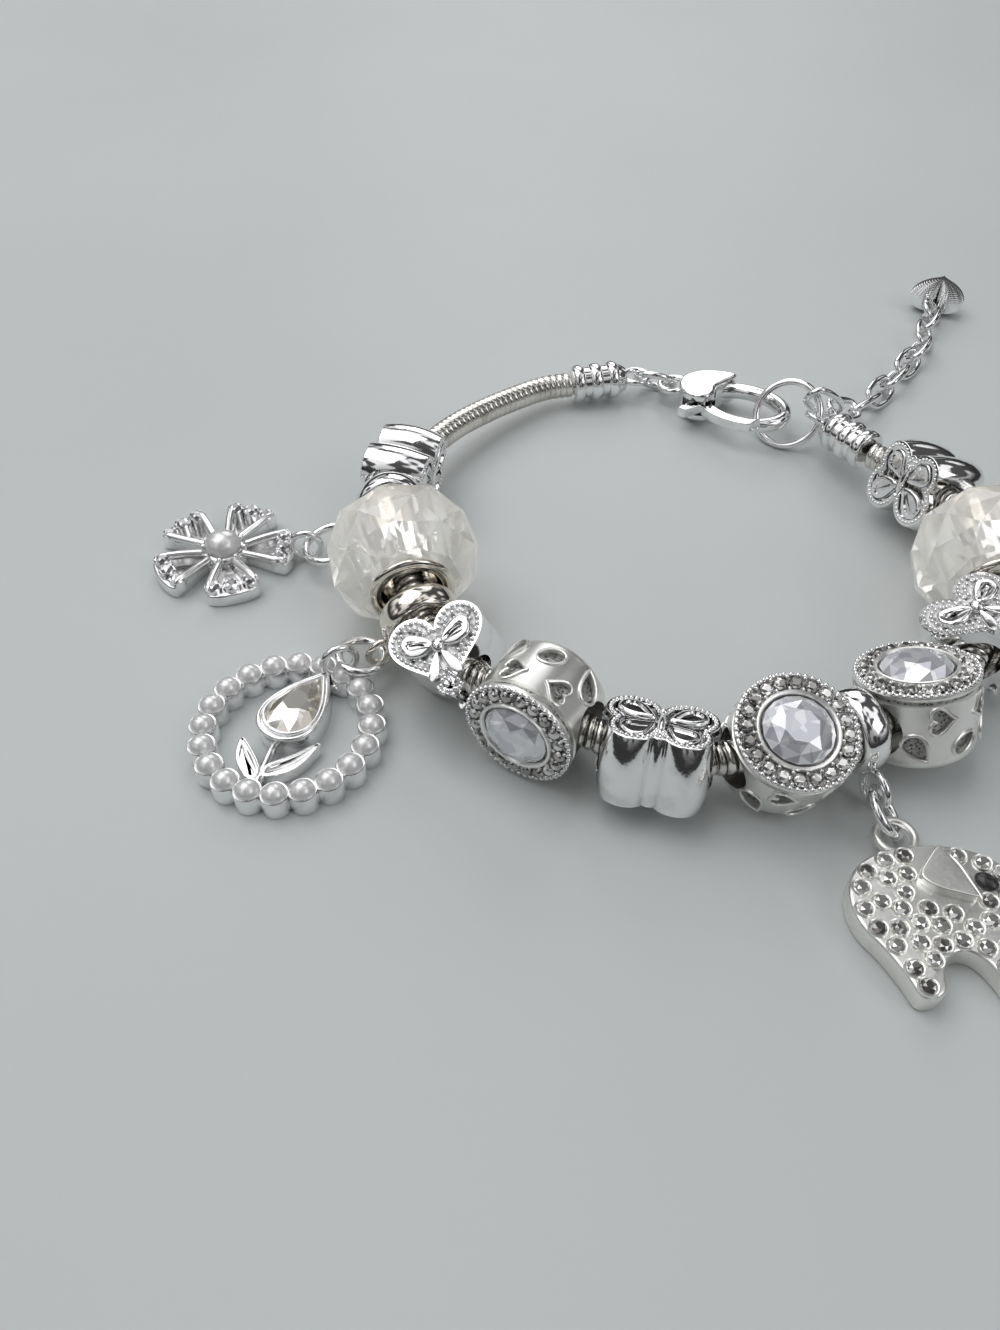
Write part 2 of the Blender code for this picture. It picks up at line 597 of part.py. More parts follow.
def build_extender(ring_top, ring_wire):
    """Cable links, each rolled against the one before, and a puffy heart at the end."""
    pitch = LINK_LENGTH - 2 * LINK_WIRE_RADIUS - GAP
    leave = (Vector(EXTENDER_ROUTE[0]) - ring_top).normalized()
    first_end = ring_top - (LINK_WIRE_RADIUS + GAP + WIRE_RADIUS) * leave
    points = catmull_rom([first_end] + EXTENDER_ROUTE, 40)
    steps = [(b - a).length for a, b in zip(points, points[1:])]
    distance = np.concatenate([[0.0], np.cumsum(steps)])
    line = np.array(points)

    def at(s):
        return Vector([np.interp(s, distance, line[:, k]) for k in range(3)])

    for k in range(LINK_COUNT):
        s = k * pitch
        along = (at(s + LINK_LENGTH) - at(s)).normalized()
        side = along.cross(Vector((0, 0, 1))).normalized()
        normal = Matrix.Rotation(math.radians(LINK_ROLLS[k]), 3, along) @ side
        if k == 0:
            normal = ring_wire
        bm = wire_loop(LINK_LENGTH / 2, LINK_HALF_WIDTH, LINK_WIRE_RADIUS)
        middle = (at(s) + at(s + LINK_LENGTH)) / 2
        add_part(f"extender_link_{k + 1}", bm, "chrome", frame_at(middle, along, normal))
    build_puffy_heart(middle + along * LINK_LENGTH / 2, along, along.cross(normal))


def build_puffy_heart(hinge, along, loop_axis):
    """Smooth puffy heart drop with a loop at its notch; its tip points away from the chain."""
    bm = prism(heart_outline(7.2, 28), -2.0, 2.0, 0.0)
    rims = [e for e in bm.edges if abs(e.verts[0].co.z - e.verts[1].co.z) < 1e-6]
    bmesh.ops.bevel(bm, geom=rims, offset=1.2, segments=2, profile=0.5, affect="EDGES",
                    clamp_overlap=True)
    bmesh.ops.rotate(bm, cent=(0, 0, 0), matrix=Matrix.Rotation(math.pi / 2, 3, "Z"), verts=bm.verts)
    flat = Vector((along.x, along.y, 0)).normalized()
    reach = 4.4
    centre = Vector((hinge.x, hinge.y, 2.0)) + reach * flat
    place = frame_at(centre, flat, (0, 0, 1))
    obj = add_part("extender_heart", bm, "chrome", place)
    loop = wire_loop(LOOP_RADIUS, LOOP_RADIUS, LOOP_WIRE_RADIUS, steps=12)
    combine(obj, moved(loop, place.inverted() @ frame_at(hinge, along, loop_axis)), "UNION")


# ---------------------------------------------------------------- layout

LEFT_CAP_DIRECTION = (ROUTE.point(0.0) - ROUTE.point(1.0)).normalized()
RIGHT_CAP_DIRECTION = (ROUTE.point(ROUTE.length) - ROUTE.point(ROUTE.length - 1.0)).normalized()

def clasp_world(x, y):
    """World point of a place in the clasp's own plane."""
    return frame_at(CLASP_ROOT, CLASP_DIRECTION, (0, 0, 1)) @ Vector((x, y, 0))


def build_closure():
    """The clasp, its ring, the ring that it holds and the extender behind that."""
    build_clasp()
    start = cap_loop_centre(ROUTE.point(0), LEFT_CAP_DIRECTION)
    build_ring("clasp_jump_ring", start, CLASP_ROOT + 0.15 * CLASP_DIRECTION.normalized(), (0.0, 0.7, 0.72))
    held = clasp_world(*HELD_POINT)
    cap_loop = cap_loop_centre(ROUTE.point(ROUTE.length), RIGHT_CAP_DIRECTION)
    across = (cap_loop - held).normalized()
    upward = (EXTENDER_RING_WIRE - across * across.dot(EXTENDER_RING_WIRE)).normalized()
    build_ring("extender_ring", held, cap_loop, across.cross(upward))
    turn = math.radians(EXTENDER_RING_ANGLE)
    outward = math.cos(turn) * across + math.sin(turn) * upward
    leave = (held + cap_loop) / 2 + (cap_loop - held).length / 2 * outward
    build_extender(leave, math.cos(turn) * upward - math.sin(turn) * across)


def build_charms():
    """The three charms, each on a bail and a jump ring."""
    loop = build_bail("bail_flower", *FLOWER_BAIL)
    own = Vector((loop.x - 5.7, loop.y + 0.7, 1.95))
    build_ring("jump_ring_flower", loop, own, (0, 0, 1))
    build_flower(own)

    loop = build_bail("bail_pearl", *PEARL_BAIL)
    own = loop + 4.25 * Vector((-0.92, -0.4, 0)).normalized()
    own.z = 3.0
    build_ring("jump_ring_pearl", loop, own, (0, 0, 1))
    build_pearl_charm(PEARL_CENTRE, own)

    loop = build_bail("bail_elephant", *ELEPHANT_BAIL)
    own = loop + Vector((0.9, -4.0, 0))
    own.z = 1.4
    build_ring("jump_ring_elephant", loop, own, (0.7, 0.2, 0.68))
    build_elephant(Vector((own.x + 1.2, own.y - 6.95, 0.0)), own)


def build_beads():
    """The ten beads, in their order along the chain."""
    build_butterfly("butterfly_left", 30.0, (-1, 0.25, 0.1), -0.1)
    build_crystal(1, 47.0)
    build_heart_bow("heart_bow_left", 60.6, (-0.3, -0.35, 0.88), math.radians(62), 0.1)
    build_drum(1, 69.6, (-0.6, -0.8, 0.03))
    build_butterfly("butterfly_front", 80.3, (0.0, 0.37, 0.93), 0.2)
    build_drum(2, 90.95, (-0.12, -0.34, 0.91))
    build_drum(3, 104.1, (0.15, 0.5, 0.85), 0.1)
    build_heart_bow("heart_bow_right", 114.4, (-0.2, 0.2, 0.95), math.radians(-20))
    build_crystal(2, 125.4)
    build_butterfly("butterfly_right", 139.4, (-0.95, -0.3, 0.35), -0.25)


def centre_on_footprint():
    """Move every piece so that the origin is the middle of the footprint on the table."""
    low, high = Vector((1e9,) * 3), Vector((-1e9,) * 3)
    bpy.context.view_layer.update()
    graph = bpy.context.evaluated_depsgraph_get()
    pieces = [o for o in bpy.context.scene.objects if not o.hide_render and o.parent is None]
    for obj in pieces:
        seen = obj.evaluated_get(graph)
        mesh = seen.to_mesh()
        for vert in mesh.vertices:
            spot = seen.matrix_world @ vert.co
            low = Vector(map(min, low, spot))
            high = Vector(map(max, high, spot))
        seen.to_mesh_clear()
    shift = Vector(((low.x + high.x) / 2, (low.y + high.y) / 2, low.z))
    bracelet = bpy.data.objects.new("bracelet", None)
    bpy.context.scene.collection.objects.link(bracelet)
    bracelet.location = -shift
    for obj in pieces:
        obj.parent = bracelet


def main():
    for obj in list(bpy.data.objects):
        bpy.data.objects.remove(obj, do_unlink=True)
    build_snake_chain()
    build_end_caps()
    build_beads()
    build_charms()
    build_closure()
    centre_on_footprint()


main()
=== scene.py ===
"""Looks of a charm bracelet that lies clasped on a pale table.

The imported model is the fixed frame. Every node of it is shown by a finer mesh made here, with the
stones, pearls, beaded borders and relief that are too small for the frame. Lengths in this file
are millimetres in the loop's own coordinates; `Form.piece` turns them into the row frame's metres.
"""
import logging
import math
from dataclasses import dataclass, field
from enum import Enum
from typing import Callable, Iterable, Sequence

import bmesh
import bpy
import numpy as np
from mathutils import Matrix, Vector


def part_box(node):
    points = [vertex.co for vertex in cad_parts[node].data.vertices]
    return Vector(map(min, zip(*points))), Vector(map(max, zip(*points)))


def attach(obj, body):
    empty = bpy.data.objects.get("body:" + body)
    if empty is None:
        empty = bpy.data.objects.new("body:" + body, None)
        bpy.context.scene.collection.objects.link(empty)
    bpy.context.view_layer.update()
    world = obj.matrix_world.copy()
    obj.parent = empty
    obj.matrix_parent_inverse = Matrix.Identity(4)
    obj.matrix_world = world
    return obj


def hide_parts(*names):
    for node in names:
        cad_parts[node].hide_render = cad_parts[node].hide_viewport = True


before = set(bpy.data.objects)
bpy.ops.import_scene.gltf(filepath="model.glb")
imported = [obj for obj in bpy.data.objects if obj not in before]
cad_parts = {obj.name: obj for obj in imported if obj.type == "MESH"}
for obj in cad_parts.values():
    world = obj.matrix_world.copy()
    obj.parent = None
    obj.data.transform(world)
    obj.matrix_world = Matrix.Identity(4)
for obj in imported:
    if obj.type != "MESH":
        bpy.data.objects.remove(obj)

logging.basicConfig(level=logging.INFO, format="%(message)s")
LOG = logging.getLogger("bracelet")

Point2 = tuple[float, float]
Colour = tuple[float, float, float]

MM = 0.001
MERGE_DISTANCE = 0.0005
GOLDEN_ANGLE = 2.39996

# Surface relief, in features to the metre and in metres
CASTING_SCALE = 420.0
GRAIN_SCALE = 5200.0
CLOUD_SCALE = 500.0
ENAMEL_SCALE = 900.0
MOTTLE_SCALE = 14.0
SPECK_SCALE = 900.0
RELIEF_UNIT = 1.0e-4
SPECK_DEPTH = 6.0e-6

# Sizes shared with the frame
CHAIN_RADIUS = 1.5
GAP = 0.35
BORE_RADIUS = 2.6
BORE_REACH = 14.0
WIRE_RADIUS = 0.42
LINK_WIRE_RADIUS = 0.4
LOOP_WIRE_RADIUS = 0.36
LOOP_RADIUS = 1.55
LOOP_REACH = LOOP_RADIUS - 0.15
CAP_LENGTH = 7.0
CAP_RADIUS = 2.3
CAP_GROOVE = 0.42
LINK_LENGTH = 5.5
LINK_HALF_WIDTH = 1.4
LINK_COUNT = 9
HEART_WIDTH = 7.2
HEART_LAYERS = 16

CHAIN_ROUTE = [
    (-9.6, 34.0, 2.6), (-12.6, 33.2, 2.6), (-15.8, 31.0, 2.8), (-19.8, 27.4, 3.2),
    (-23.6, 22.8, 3.8), (-26.9, 17.2, 4.3), (-29.0, 10.8, 5.2), (-29.1, 3.4, 6.8),
    (-27.5, -3.9, 7.4), (-25.5, -11.2, 6.1), (-21.6, -16.8, 5.1), (-15.6, -20.7, 5.4),
    (-8.3, -24.9, 4.8), (-1.4, -26.4, 4.8), (5.8, -25.3, 5.1), (13.4, -22.8, 5.1),
    (20.4, -18.9, 4.9), (25.7, -12.7, 6.1), (28.5, -5.4, 7.2), (28.6, 2.6, 6.8),
    (26.8, 10.2, 4.9), (23.4, 16.8, 4.3)]
CLASP_ROOT = Vector((3.6, 35.3, 1.9))
CLASP_DIRECTION = Vector((11.2, -10.1, 1.4))
HELD_POINT = Vector((11.6, 1.1, 0))
RING_WIRE = Vector((0.41, 0.45, 0.79))
RING_ANGLE = 42
LINK_ROLLS = [30, -60, 40] + [-45, 45] * (LINK_COUNT // 2 - 1)
EXTENDER_ROUTE = [(23.0, 28.0, 2.4), (28.2, 32.5, 1.4), (34.1, 40.0, 1.4), (38.2, 45.6, 1.4),
                  (41.2, 53.4, 1.4), (45.5, 58.6, 1.4), (50.0, 63.5, 1.4)]
PEARL_CENTRE = Vector((-37.0, -20.4, 0.0))
FLOWER_LOOP_HEIGHT = 1.95
PEARL_LOOP_HEIGHT = 3.0
PEARL_SIDE = Vector((0.92, 0.4, 0.0))
ELEPHANT_LOOP_HEIGHT = 1.4
UP = Vector((0, 0, 1))
IDENTITY = Matrix.Identity(4)
X_TO_Z = Matrix.Rotation(math.radians(-90), 4, "Y")


class Body(Enum):
    """The frame's bodies, which the pieces ride on."""

    BRACELET = "bracelet"
    LEVER = "clasp_lever"


# ------------------------------------------------------------------ shader graph

class Value:
    """A shader socket that can be used in arithmetic.

    Args:
        graph: The graph that the socket is in.
        socket: The output socket.
    """

    def __init__(self, graph: "Graph", socket: bpy.types.NodeSocket) -> None:
        self.graph = graph
        self.socket = socket

    def _math(self, operation: str, first: object, second: object = None) -> "Value":
        """Make a Math node of two operands."""
        inputs = {0: first} if second is None else {0: first, 1: second}
        return self.graph.node("ShaderNodeMath", inputs, operation=operation)

    def __add__(self, other: object) -> "Value":
        return self._math("ADD", self, other)

    def __radd__(self, other: object) -> "Value":
        return self._math("ADD", other, self)

    def __sub__(self, other: object) -> "Value":
        return self._math("SUBTRACT", self, other)

    def __rsub__(self, other: object) -> "Value":
        return self._math("SUBTRACT", other, self)

    def __mul__(self, other: object) -> "Value":
        return self._math("MULTIPLY", self, other)

    def __rmul__(self, other: object) -> "Value":
        return self._math("MULTIPLY", other, self)

    def __truediv__(self, other: object) -> "Value":
        return self._math("DIVIDE", self, other)

    def __rtruediv__(self, other: object) -> "Value":
        return self._math("DIVIDE", other, self)

    def __pow__(self, other: object) -> "Value":
        return self._math("POWER", self, other)

    def step(self, low: float, high: float) -> "Value":
        """Smooth step from 0 at `low` to 1 at `high`."""
        return self.graph.node("ShaderNodeMapRange", {0: self, 1: low, 2: high},
                               interpolation_type="SMOOTHSTEP")


class Graph:
    """The node tree of a material or a world, with one method that makes any node.

    Args:
        tree: The node tree to fill; its default nodes are removed.
    """

    def __init__(self, tree: bpy.types.NodeTree) -> None:
        self.tree = tree
        tree.nodes.clear()

    def node(self, kind: str, inputs: dict | None = None, out: int | str = 0,
             **settings: object) -> Value:
        """Make a node.

        Args:
            kind: The node's type name.
            inputs: Values or sockets for its inputs, by index or name.
            out: The output to return.
            **settings: The node's properties.

        Returns:
            The output as a value.
        """
        made = self.tree.nodes.new(kind)
        for name, setting in settings.items():
            setattr(made, name, setting)
        self.feed(made, inputs or {})
        return Value(self, made.outputs[out]) if len(made.outputs) else Value(self, None)

    def feed(self, made: bpy.types.Node, inputs: dict) -> None:
        """Give a node's inputs their values and links, by index or name."""
        for key, value in inputs.items():
            if isinstance(value, Value):
                self.tree.links.new(value.socket, made.inputs[key])
            else:
                made.inputs[key].default_value = value

    def place(self) -> Value:
        """Position on the object, in metres."""
        return self.node("ShaderNodeTexCoord", out="Object")

    def noise(self, where: Value, scale: float, detail: float = 2.0) -> Value:
        """Noise from 0 to 1, with `scale` features to the metre."""
        return self.node("ShaderNodeTexNoise",
                         {"Vector": where, "Scale": scale, "Detail": detail}, out=0)

    def patches(self, cells: float) -> Value:
        """Level that differs from cell to cell, with `cells` cells to the metre."""
        colour = self.node("ShaderNodeTexVoronoi", {"Vector": self.place(), "Scale": cells},
                           out="Color")
        return self.node("ShaderNodeSeparateColor", {0: colour}, out=0)

    def mix(self, factor: Value, first: Colour, second: Colour) -> Value:
        """Blend of two colours."""
        return self.node("ShaderNodeMix", {0: factor, 6: (*first, 1.0), 7: (*second, 1.0)},
                         out=2, data_type="RGBA")

    def bump(self, height: Value, depth: float) -> Value:
        """Surface relief from a height of 0 to 1 that stands for `depth` metres."""
        return self.node("ShaderNodeBump", {"Height": height, "Strength": 1.0, "Distance": depth})


# ------------------------------------------------------------------ finishes

@dataclass(frozen=True)
class Finish:
    """A procedural surface; subclasses say how its nodes are wired."""

    name: str

    def material(self) -> bpy.types.Material:
        """Return the material, made once."""
        found = bpy.data.materials.get(self.name)
        if found:
            return found
        made = bpy.data.materials.new(self.name)
        made.use_nodes = True
        graph = Graph(made.node_tree)
        shader = graph.node("ShaderNodeBsdfPrincipled")
        self.wire(graph, shader.socket.node)
        graph.node("ShaderNodeOutputMaterial", {"Surface": shader})
        return made

    def wire(self, graph: Graph, shader: bpy.types.Node) -> None:
        """Connect this finish's nodes to the shader."""
        raise NotImplementedError


@dataclass(frozen=True)
class Metal(Finish):
    """Plated cast metal.

    Args:
        bright: Colour where the plating is clean.
        dull: Colour where it is tarnished.
        rough: Lowest and highest roughness.
        waviness: Depth of the slow unevenness of the casting, in metres.
        grain: Depth of the fine grain, in metres.
    """

    bright: Colour = (0.93, 0.93, 0.93)
    dull: Colour = (0.74, 0.74, 0.74)
    rough: Point2 = (0.05, 0.17)
    waviness: float = 4.5e-5
    grain: float = 1.2e-6

    def wire(self, graph: Graph, shader: bpy.types.Node) -> None:
        """See base class."""
        where = graph.place()
        slow = graph.noise(where, CASTING_SCALE, 3.0)
        fine = graph.noise(where, GRAIN_SCALE)
        low, high = self.rough
        height = slow * self.waviness + fine * self.grain
        graph.feed(shader, {
            "Base Color": graph.mix(slow.step(0.45, 0.75), self.bright, self.dull),
            "Roughness": low + (high - low) * fine.step(0.3, 0.8) * (slow.step(0.3, 0.8) + 0.3),
            "Metallic": 1.0,
            "Normal": graph.bump(height * (1 / RELIEF_UNIT), RELIEF_UNIT)})


@dataclass(frozen=True)
class Recess(Finish):
    """Pitted metal whose hollows are blackened.

    Args:
        dark: Colour in the pits.
        light: Colour between them.
        cells: Pits to the metre.
        depth: Depth of the pits, in metres.
    """

    dark: Colour = (0.10, 0.10, 0.10)
    light: Colour = (0.48, 0.48, 0.47)
    cells: float = 3600.0
    depth: float = 7.0e-5

    def wire(self, graph: Graph, shader: bpy.types.Node) -> None:
        """See base class."""
        pits = graph.node("ShaderNodeTexVoronoi", {"Vector": graph.place(), "Scale": self.cells})
        graph.feed(shader, {
            "Base Color": graph.mix(pits.step(0.1, 0.6), self.dark, self.light),
            "Roughness": 0.22 + 0.3 * pits,
            "Metallic": 1.0,
            "Normal": graph.bump(pits, self.depth)})


@dataclass(frozen=True)
class ClearGlass(Finish):
    """Clear cut glass.

    Args:
        tint: Body colour.
        index: Index of refraction.
        clarity: Share of the light that passes; the rest is scattered by the milky body.
        cells: Differing glints to the metre.
    """

    tint: Colour = (1.0, 0.99, 0.955)
    index: float = 1.42
    clarity: float = 0.72
    cells: float = 420.0

    def wire(self, graph: Graph, shader: bpy.types.Node) -> None:
        """See base class."""
        level = graph.patches(self.cells)
        shade = tuple(0.9 * c for c in self.tint)
        graph.feed(shader, {
            # Painted glints and shade: from cell to cell the base colour steps between the tint and
            # a darker shade of it.
            "Base Color": graph.mix(level.step(0.3, 0.9), self.tint, shade),
            "Roughness": 0.01 + 0.04 * level,
            "Transmission Weight": self.clarity,
            # Painted light: the glass glows faintly in its own tint, though it is no lamp, so that
            # it looks lit from within.
            "Emission Color": (*self.tint, 1.0),
            "Emission Strength": 0.07,
            "Coat Weight": 0.6,
            "Coat Roughness": 0.02,
            "IOR": self.index})


@dataclass(frozen=True)
class FoiledStone(Finish):
    """Cut stone with a foil behind it, so that every facet mirrors.

    Args:
        light: Colour painted on the facets that are taken to catch the light.
        deep: Colour painted on the others, as painted shade.
        cells: Differing patches to the metre.
        metallic: How far the foil shows.
    """

    light: Colour = (0.93, 0.93, 0.95)
    deep: Colour = (0.46, 0.46, 0.48)
    cells: float = 700.0
    metallic: float = 0.85

    def wire(self, graph: Graph, shader: bpy.types.Node) -> None:
        """See base class."""
        level = graph.patches(self.cells)
        graph.feed(shader, {
            # Painted light and shade: each random cell takes the colour of a lit facet or of a
            # shaded one.
            "Base Color": graph.mix(level.step(0.2, 0.8), self.light, self.deep),
            "Roughness": 0.03 + 0.05 * level,
            "Metallic": self.metallic,
            "Coat Weight": 1.0,
            "Coat Roughness": 0.02})


@dataclass(frozen=True)
class PearlCoat(Finish):
    """Milky bead with a soft nacre sheen.

    Args:
        light: Colour where the bead faces the eye, a painted sheen.
        rim: Colour towards the outline, a painted shade.
    """

    light: Colour = (0.92, 0.92, 0.91)
    rim: Colour = (0.58, 0.58, 0.59)

    def wire(self, graph: Graph, shader: bpy.types.Node) -> None:
        """See base class."""
        cloud = graph.noise(graph.place(), CLOUD_SCALE)
        facing = graph.node("ShaderNodeLayerWeight", {0: 0.35}, out="Facing")
        graph.feed(shader, {
            # Painted sheen and shade: lighter where the bead faces the camera, darker towards its
            # outline; the cloud noise adds random tone.
            "Base Color": graph.mix(facing * 0.9 + cloud * 0.25, self.light, self.rim),
            "Roughness": 0.24 + 0.1 * cloud,
            "Metallic": 0.35,
            "Coat Weight": 1.0,
            "Coat Roughness": 0.04})


@dataclass(frozen=True)
class Enamel(Finish):
    """Glossy black enamel."""

    def wire(self, graph: Graph, shader: bpy.types.Node) -> None:
        """See base class."""
        cloud = graph.noise(graph.place(), ENAMEL_SCALE)
        graph.feed(shader, {
            "Base Color": graph.mix(cloud, (0.012, 0.012, 0.014), (0.03, 0.03, 0.032)),
            "Roughness": 0.2 + 0.15 * cloud,
            "Coat Weight": 0.3})


@dataclass(frozen=True)
class Tabletop(Finish):
    """Pale matt table with a faint mottle."""

    colour: Colour = (0.62, 0.645, 0.64)

    def wire(self, graph: Graph, shader: bpy.types.Node) -> None:
        """See base class."""
        where = graph.place()
        mottle = graph.noise(where, MOTTLE_SCALE, 4.0)
        speck = graph.noise(where, SPECK_SCALE)
        darker = tuple(0.965 * c for c in self.colour)
        graph.feed(shader, {
            "Base Color": graph.mix(mottle.step(0.3, 0.75), self.colour, darker),
            "Roughness": 0.42 + 0.2 * speck,
            "Specular IOR Level": 0.35,
            "Normal": graph.bump(speck, SPECK_DEPTH)})


CHROME = Metal("chrome", rough=(0.06, 0.16))
HAMMERED = Recess("hammered_silver", (0.12, 0.12, 0.12), (0.62, 0.62, 0.62), 1700.0, 1.6e-4)
SATIN = Metal("satin_silver", (0.93, 0.93, 0.90), (0.84, 0.84, 0.80), (0.3, 0.42), 1.2e-5)
SOFT = Metal("soft_silver", rough=(0.17, 0.28), waviness=2.0e-5)
CHAIN_SILVER = Metal("chain_silver", (0.80, 0.78, 0.74), (0.55, 0.53, 0.50), (0.16, 0.32), 6.0e-6)
WARM_NICKEL = Metal("warm_nickel", (0.86, 0.82, 0.74), (0.66, 0.62, 0.54), (0.08, 0.2), 8.0e-6)
GLASS = ClearGlass("clear_glass")
RHINESTONE = FoiledStone("rhinestone")
SMOKY = FoiledStone("smoky_rhinestone", (0.86, 0.85, 0.83), (0.30, 0.29, 0.28), 620.0, 0.8)
LAVENDER = FoiledStone("lavender_crystal", (0.90, 0.91, 0.94), (0.66, 0.67, 0.72), 900.0, 0.45)
CHAMPAGNE = FoiledStone("champagne_crystal", (0.93, 0.91, 0.86), (0.62, 0.58, 0.50), 620.0, 0.6)
PEARL = PearlCoat("pearl")
RECESS = Recess("blackened_recess")
ENAMEL = Enamel("black_enamel")
TABLETOP = Tabletop("tabletop")


# ------------------------------------------------------------------ curves and outlines

def catmull_rom(points: Sequence, steps: int, closed: bool = False) -> list[Vector]:
    """Smooth curve through points.

    Args:
        points: The points to pass through.
        steps: Samples for each span.
        closed: Whether the curve comes back to its start.

    Returns:
        The samples.
    """
    pts = [Vector(p) for p in points]
    if closed:
        pts = [pts[-1]] + pts + pts[:2]
    else:
        pts = [2 * pts[0] - pts[1]] + pts + [2 * pts[-1] - pts[-2]]
    out = []
    for a, b, c, d in zip(pts, pts[1:], pts[2:], pts[3:]):
        for k in range(steps):
            t = k / steps
            out.append(0.5 * (2 * b + (c - a) * t + (2 * a - 5 * b + 4 * c - d) * t * t
                              + (3 * b - a - 3 * c + d) * t ** 3))
    if not closed:
        out.append(pts[-2])
    return out


class Track:
    """A smooth line read by the distance along it.

    Args:
        points: The points it passes through.
        steps: Samples for each span.
    """

    def __init__(self, points: Sequence, steps: int = 24) -> None:
        self.line = np.array(catmull_rom(points, steps))
        lengths = np.linalg.norm(np.diff(self.line, axis=0), axis=1)
        self.distance = np.concatenate([[0.0], np.cumsum(lengths)])
        self.length = float(self.distance[-1])

    def point(self, s: float) -> Vector:
        """Point at a distance from the start."""
        return Vector([np.interp(s, self.distance, self.line[:, k]) for k in range(3)])

    def tangent(self, s: float) -> Vector:
        """Direction at a distance from the start."""
        return (self.point(s + 1.0) - self.point(s - 1.0)).normalized()


def frame_at(origin: Sequence, x_axis: Sequence, z_hint: Sequence) -> Matrix:
    """Placement with X along x_axis and Z as near to z_hint as it can be."""
    x = Vector(x_axis).normalized()
    z = Vector(z_hint)
    z = (z - x * z.dot(x)).normalized()
    rows = Matrix((x, z.cross(x), z)).transposed().to_4x4()
    return Matrix.Translation(Vector(origin)) @ rows


def shifted(x: float, y: float, z: float) -> Matrix:
    """Translation by three lengths."""
    return Matrix.Translation((x, y, z))


def spun(degrees: float, axis: str = "Z") -> Matrix:
    """Rotation about an axis."""
    return Matrix.Rotation(math.radians(degrees), 4, axis)


def lobed_outline(circles: Sequence, count: int) -> list[Point2]:
    """Outline of overlapping circles round the origin, by its angle."""
    outline = []
    for k in range(count):
        a = 2 * math.pi * (k + 0.5) / count
        ray = (math.cos(a), math.sin(a))
        reach = 0.0
        for cx, cy, r in circles:
            along = cx * ray[0] + cy * ray[1]
            off = cx * ray[1] - cy * ray[0]
            if abs(off) < r:
                reach = max(reach, along + math.sqrt(r * r - off * off))
        outline.append((reach * ray[0], reach * ray[1]))
    return outline


def heart_outline(size: float, count: int) -> list[Point2]:
    """Heart of the given width, its tip towards -Y."""
    scale = size / 32.0
    outline = []
    for k in range(count):
        t = 2 * math.pi * (k + 0.5) / count
        x = 16 * math.sin(t) ** 3
        y = 13 * math.cos(t) - 5 * math.cos(2 * t) - 2 * math.cos(3 * t) - math.cos(4 * t)
        outline.append((scale * x, scale * (y + 2.5)))
    return outline


def pear_outline(radius: float, count: int) -> list[Point2]:
    """Pear shape, round towards -X and pointed towards +X."""
    outline = []
    for k in range(count):
        t = 2 * math.pi * k / count
        y = radius * math.sin(t) * math.sin(t / 2) ** 1.1 * 1.22
        outline.append((radius * 1.42 * math.cos(t), y))
    return outline


def smooth_outline(points: Sequence[Point2], steps: int = 8) -> list[Point2]:
    """Closed smooth outline through the points."""
    return [(p.x, p.y) for p in catmull_rom([(x, y, 0) for x, y in points], steps, closed=True)]


def oval_outline(length: float, width: float, count: int = 24) -> list[Point2]:
    """Ellipse of the given half length and half width."""
    return [(length * math.cos(a), width * math.sin(a))
            for a in (2 * math.pi * k / count for k in range(count))]


def shrunk(outline: Sequence[Point2], inward: float) -> list[Point2]:
    """Outline moved inward along its own normals; it runs anticlockwise or clockwise."""
    pts = [Vector(p) for p in outline]
    area = sum(a.x * b.y - b.x * a.y for a, b in zip(pts, pts[1:] + pts[:1]))
    turn = inward if area > 0 else -inward
    out = []
    for before, here, after in zip(pts[-1:] + pts[:-1], pts, pts[1:] + pts[:1]):
        along = after - before
        normal = Vector((-along.y, along.x)).normalized()
        out.append(tuple(here + normal * turn))
    return out


def spaced(outline: Sequence[Point2], pitch: float) -> list[Point2]:
    """Points at an even spacing close to `pitch` round a closed outline."""
    pts = np.array(list(outline) + [outline[0]])
    lengths = np.linalg.norm(np.diff(pts, axis=0), axis=1)
    distance = np.concatenate([[0.0], np.cumsum(lengths)])
    count = max(3, round(float(distance[-1]) / pitch))
    at = np.arange(count) * distance[-1] / count
    return [(float(np.interp(s, distance, pts[:, 0])), float(np.interp(s, distance, pts[:, 1])))
            for s in at]


def inside(point: Point2, outline: Sequence[Point2]) -> bool:
    """Whether a point is inside an outline."""
    x, y = point
    hit = False
    for (ax, ay), (bx, by) in zip(outline, list(outline[1:]) + [outline[0]]):
        if (ay > y) != (by > y) and x < (bx - ax) * (y - ay) / (by - ay) + ax:
            hit = not hit
    return hit


def distance_to(point: Point2, outline: Sequence[Point2]) -> float:
    """Distance from a point to an outline's nearest vertex."""
    return min(math.hypot(point[0] - x, point[1] - y) for x, y in outline)


def mirrored(points: Sequence[Point2], side: int) -> list[Point2]:
    """Smooth outline through the points, mirrored left to right where side is -1."""
    return smooth_outline([(side * x, y) for x, y in points])


def half_turn(steps: int) -> list[float]:
    """Angles of a half turn, in radians."""
    return [math.pi * k / steps for k in range(steps + 1)]


# ------------------------------------------------------------------ forms

ROUTE = Track(CHAIN_ROUTE)
BEAD_STATION = 47.0


def frame_shift() -> Vector:
    """Offset from the loop's coordinates to the row frame, read off the first glass bead."""
    low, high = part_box("crystal_glass_1")
    return (low + high) / 2 / MM - ROUTE.point(BEAD_STATION)


SHIFT = frame_shift()
TO_FRAME = Matrix.Diagonal((MM, MM, MM, 1.0)) @ Matrix.Translation(SHIFT)


def blank_mesh(bm: bmesh.types.BMesh) -> bpy.types.Mesh:
    """Mesh made from a bmesh, which is freed."""
    mesh = bpy.data.meshes.new("blank")
    bm.to_mesh(mesh)
    bm.free()
    return mesh


def in_scene(name: str, data: bpy.types.ID) -> bpy.types.Object:
    """New object of the data, linked to the scene."""
    obj = bpy.data.objects.new(name, data)
    bpy.context.scene.collection.objects.link(obj)
    return obj


